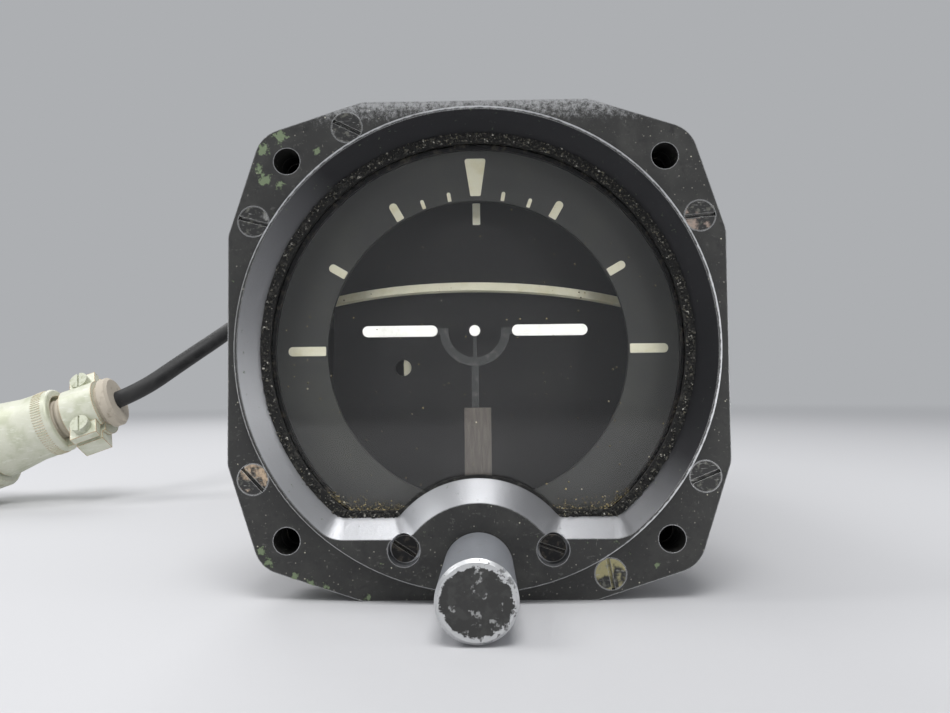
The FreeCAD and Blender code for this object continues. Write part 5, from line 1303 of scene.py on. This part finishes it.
@dataclass(frozen=True)
class PlugAxis:
    """Where the plug lies: the cable's way in, its drop, its swing and its roll."""

    face: Triple = (-115.1, 110.0, -9.8)
    drop: float = 19.5
    swing: float = 7.0
    roll: float = 37.5

    def frame(self) -> np.ndarray:
        """The plug's own directions.

        Returns:
            Rows: along the plug, across its clamp, and towards the clamp's heads.
        """
        d, w, r = (math.radians(a) for a in (self.drop, self.swing, self.roll))
        along = np.array([-math.cos(d) * math.cos(w), -math.cos(d) * math.sin(w), -math.sin(d)])
        level = np.array([math.sin(w), -math.cos(w), 0.0])
        upright = np.cross(along, level)
        upright *= np.sign(upright[2])
        heads = upright * math.sin(r) + level * math.cos(r)
        return np.stack([along, np.cross(heads, along), heads])

    def point(self, along: float) -> Triple:
        """The point that far along the plug's axis from its face."""
        return tuple(float(v) for v in np.array(self.face) + along * self.frame()[0])

    def place(self, local: np.ndarray) -> np.ndarray:
        """Turn points given along, across and towards the heads into the model's frame."""
        return np.array(self.face) + local @ self.frame()


@dataclass(frozen=True)
class SupplyCable(Assembly):
    """The cable from the rear gland to the plug, with its boot."""

    wears = ((NICKEL_PLATE, "cable_gland gland_nut"),)
    plug: PlugAxis
    diameter: float = 5.3
    length: float = 219.5
    exit: Triple = (-22.0, 168.0, 8.0)
    bends: tuple[Triple, ...] = (
        (-22.0, 186.0, 8.0),
        (-29.0, 205.0, 10.0),
        (-45.0, 218.0, 13.5),
        (-65.5, 216.0, 18.0),
        (-80.0, 201.5, 21.0),
        (-85.0, 178.5, 25.0),
        (-84.0, 152.5, 23.0),
        (-88.0, 131.5, 13.0),
        (-98.0, 119.5, 2.8),
    )
    straight: float = 6.0
    tail: float = 4.5
    boot_start: float = 170.9
    boot_long: float = 14.0
    boot_wide: float = 4.7
    boot_tip: float = 3.0
    boot_ribs: int = 5
    boot_rib: float = 0.3
    boot_ribbed: float = 0.85

    def make(self, frame: dict) -> None:
        """Lay the cable on one smooth line and make its boot.

        Args:
            frame: The loaded frame; not used.
        """
        ends = (self.plug.point(-self.straight), self.plug.point(self.tail))
        points = np.array([self.exit, *self.bends, *ends])
        curve = bpy.data.curves.new("supply_cable", "CURVE")
        curve.dimensions = "3D"
        line = curve.splines.new("NURBS")
        line.points.add(len(points) - 1)
        line.points.foreach_set("co", np.c_[points * MM, np.ones(len(points))].ravel())
        line.order_u = 3
        line.use_endpoint_u = True
        line.resolution_u = 16
        curve.bevel_depth = self.diameter / 2 * MM
        curve.bevel_resolution = 6
        curve.use_fill_caps = True
        curve.materials.append(CABLE_JACKET.material())
        cable = bpy.data.objects.new("supply_cable", curve)
        bpy.context.scene.collection.objects.link(cable)
        settle(cable, "case", "cable_rubber", "cable")
        settle(mesh_piece("gland_boot", self.boot(), CABLE_JACKET.material()), "case", "cable_rubber")

    def boot(self) -> np.ndarray:
        """The tapered rubber boot round the cable behind the gland nut.

        Radius = a straight taper from boot_wide to boot_tip, plus boot_rib times the
        square of a sine along it; the last rows turn in to the cable.

        Returns:
            One grid for mesh_piece.
        """
        share = np.linspace(0, 1, 41)
        radius = self.boot_wide + (self.boot_tip - self.boot_wide) * share
        radius = radius + self.boot_rib * np.sin(math.pi * self.boot_ribs * share) ** 2 * (share < self.boot_ribbed)
        inner = self.diameter / 2 - 0.1
        end = self.boot_start + self.boot_long
        wall = np.stack([self.boot_start + self.boot_long * share, radius], axis=-1)
        close = np.array([[end, inner], [self.boot_start, inner], wall[0]])
        local = turned(np.concatenate([wall, close]))
        x, z = self.exit[0] + local[..., 1], self.exit[2] + local[..., 2]
        return np.stack([x, local[..., 0], z], axis=-1)[None]


@dataclass(frozen=True)
class Plug(Assembly):
    """The threaded connector on the cable's end."""

    wears = (
        (TAN_RUBBER, "cable_bushing"),
        (OLIVE_CHROMATE, "cable_clamp_body cable_clamp_saddle connector_endbell connector_shell"),
        (OLIVE_CHROMATE, "connector_coupling_nut"),
        (CADMIUM_SCREWS, "cable_clamp_screws"),
        (MOULDED_PHENOLIC, "connector_insert"),
        (GOLD_FLASH, "connector_contacts"),
    )
    axis: PlugAxis
    band_start: float = 17.2
    band_end: float = 27.5
    band_radius: float = 10.0
    band_end_radius: float = 10.13
    band_bore: float = 7.7
    knurl_start: float = 18.7
    knurl_end: float = 22.1
    ribs: int = 76
    rib_wide: float = 0.46
    rib_high: float = 0.22
    rib_sunk: float = 0.02
    sleeve_start: float = 12.9
    sleeve_end: float = 20.6
    sleeve_radius: float = 6.0
    sleeve_rib: float = 0.5
    sleeve_ribs: float = 3.5

    def knurl(self) -> np.ndarray:
        """The straight knurl: a ring of fine ribs on the bell's front band.

        A rib's path runs along the band at the band's radius.  Its section is a low
        wave that fades at both ends, so each rib closes.

        Returns:
            Grids for mesh_piece, one for each rib.
        """
        fade = np.array([0.0, 0.9, 1.0, 1.0, 1.0, 0.9, 0.0])[None, :, None]
        along = np.linspace(self.knurl_start, self.knurl_end, fade.size)
        section = np.linspace(0, math.tau, 8, endpoint=False)
        side = np.cos(section) * self.rib_wide / 2
        lift = np.sin(section) * self.rib_high
        turn = (np.arange(self.ribs) * math.tau / self.ribs)[:, None, None]
        radius = self.band_radius + lift * fade - self.rib_sunk
        turn = turn + side * fade / self.band_radius
        along = np.broadcast_to(along[None, :, None], turn.shape)
        return self.axis.place(np.stack([along, radius * np.cos(turn), radius * np.sin(turn)], axis=-1))

    def band(self) -> np.ndarray:
        """The bell's front band: a turned ring with a rounded lip over the bell's shoulder."""
        a, b, r = self.band_start, self.band_end, self.band_radius
        corners = [
            (a, self.band_bore),
            (a, r - 0.55),
            (a + 0.2, r - 0.2),
            (a + 0.6, r),
            (b - 1.5, r + 0.05),
            (b, self.band_end_radius),
            (b, r - 0.1),
            (b - 1.0, r - 0.5),
            (a + 3.0, r - 0.8),
            (a + 2.85, self.band_bore),
            (a, self.band_bore),
        ]
        return self.axis.place(turned(np.array(corners)))[None]

    def sleeve(self) -> np.ndarray:
        """The bush's ribbed sleeve, which shows in the gap between clamp and bell.

        Radius = sleeve_radius plus sleeve_rib times the absolute value of a sine
        along it; both ends close to the axis.

        Returns:
            One grid for mesh_piece.
        """
        share = np.linspace(0, 1, 36)
        along = self.sleeve_start + (self.sleeve_end - self.sleeve_start) * share
        radius = self.sleeve_radius + self.sleeve_rib * np.abs(np.sin(math.pi * self.sleeve_ribs * share))
        wall = np.stack([along, radius], axis=-1)
        return self.axis.place(turned(np.concatenate([wall[:1] * (1, 0), wall, wall[-1:] * (1, 0)])))[None]

    def make(self, frame: dict) -> None:
        """Make the knurl, the bell's band and the bush's sleeve."""
        for name, grids, finish, slot in (
            ("endbell_knurl", self.knurl(), OLIVE_CHROMATE, "connector_olive"),
            ("endbell_band", self.band(), OLIVE_CHROMATE, "connector_olive"),
            ("bush_sleeve", self.sleeve(), TAN_RUBBER, "bush_rubber"),
        ):
            settle(mesh_piece(name, grids, finish.material()), "case", slot)


# ---------------------------------------------------------------- studio


@dataclass(frozen=True)
class Lamp:
    """A square soft lamp: its place and size in millimetres and its power in watts."""

    name: str
    place: Triple
    aim: Triple
    size: float
    power: float


@dataclass(frozen=True)
class Studio:
    """Plain pale floor, soft lamps, pale surroundings and the camera."""

    floor: float = -41.25
    floor_half: float = 4000.0
    floor_lines: int = 9
    surroundings: str = "ADAFB2"
    camera: Triple = (1.93, -121.62, -6.29)
    pitch: float = 2.25
    yaw: float = 1.05
    roll: float = 0.56
    lens: float = 28.04
    lamps: tuple[Lamp, ...] = (
        Lamp("overhead_lamp", (20.0, -230.0, 620.0), (0.0, 0.0, 0.0), 300.0, 2.8),
        Lamp("right_lamp", (560.0, -90.0, 170.0), (0.0, 10.0, 0.0), 240.0, 0.35),
        Lamp("left_lamp", (-430.0, 10.0, 430.0), (-110.0, 90.0, 0.0), 240.0, 1.1),
        Lamp("front_lamp", (-120.0, -520.0, 560.0), (0.0, 0.0, 0.0), 300.0, 0.3),
        Lamp("low_right", (262.0, -500.0, -6.0), (0.0, 20.0, 10.0), 62.0, 0.33),
        Lamp("low_left", (-262.0, -500.0, -6.0), (0.0, 20.0, 10.0), 62.0, 0.21),
        Lamp("back_lamp", (-260.0, 560.0, 520.0), (-70.0, 100.0, 0.0), 420.0, 1.8),
    )

    def build(self) -> None:
        """Lay the floor, hang the lamps, set the surroundings and place the camera."""
        steps = np.linspace(-self.floor_half, self.floor_half, self.floor_lines)
        x, y = np.meshgrid(steps, steps, indexing="ij")
        sheet = np.stack([x, y, np.full_like(x, self.floor)], axis=-1)
        index = np.arange(x.size).reshape(x.shape)
        quads = np.stack([index[:-1, :-1], index[1:, :-1], index[1:, 1:], index[:-1, 1:]], axis=-1)
        mesh = bpy.data.meshes.new("floor")
        mesh.from_pydata((sheet.reshape(-1, 3) * MM).tolist(), [], quads.reshape(-1, 4).tolist())
        mesh.materials.append(FLOOR_BOARD.material())
        board = bpy.data.objects.new("floor", mesh)
        bpy.context.scene.collection.objects.link(board)
        for lamp in self.lamps:
            self.hang(lamp)
        world = bpy.data.worlds.new("surroundings")
        world.use_nodes = True
        world.node_tree.nodes["Background"].inputs["Color"].default_value = srgb(self.surroundings)
        bpy.context.scene.world = world
        bpy.context.scene.view_settings.view_transform = "Standard"
        self.look()

    def hang(self, lamp: Lamp) -> None:
        """Hang one lamp, facing its aim.

        Args:
            lamp: The lamp.
        """
        light = bpy.data.lights.new(lamp.name, "AREA")
        light.shape = "SQUARE"
        light.size = lamp.size * MM
        light.energy = lamp.power
        holder = bpy.data.objects.new(lamp.name, light)
        holder.location = Vector(lamp.place) * MM
        aim = (Vector(lamp.aim) - Vector(lamp.place)).normalized()
        holder.rotation_euler = aim.to_track_quat("-Z", "Y").to_euler()
        bpy.context.scene.collection.objects.link(holder)

    def look(self) -> None:
        """Place the camera: turned left by yaw, tipped up by pitch, and rolled."""
        lens = bpy.data.cameras.new("camera")
        lens.sensor_width = 36.0
        lens.lens = self.lens
        lens.clip_start = 0.005
        lens.clip_end = 50.0
        turn = (
            Matrix.Rotation(math.radians(self.yaw), 3, "Z")
            @ Matrix.Rotation(math.radians(self.pitch), 3, "X")
            @ Matrix.Rotation(math.radians(self.roll), 3, "Y")
            @ Matrix.Rotation(math.radians(90), 3, "X")
        )
        holder = bpy.data.objects.new("camera", lens)
        holder.matrix_world = Matrix.Translation(Vector(self.camera) * MM) @ turn.to_4x4()
        bpy.context.scene.collection.objects.link(holder)
        bpy.context.scene.camera = holder


def main() -> None:
    """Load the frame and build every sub-assembly in order."""
    logging.basicConfig(level=logging.INFO, format="%(name)s: %(message)s")
    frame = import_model()
    Studio().build()
    axis = PlugAxis()
    for assembly in (SupplyCable(axis), Plug(axis), Dial(), Window(), Adjuster(), GyroUnit(), Case()):
        assembly.build(frame)


if __name__ == "__main__":
    main()
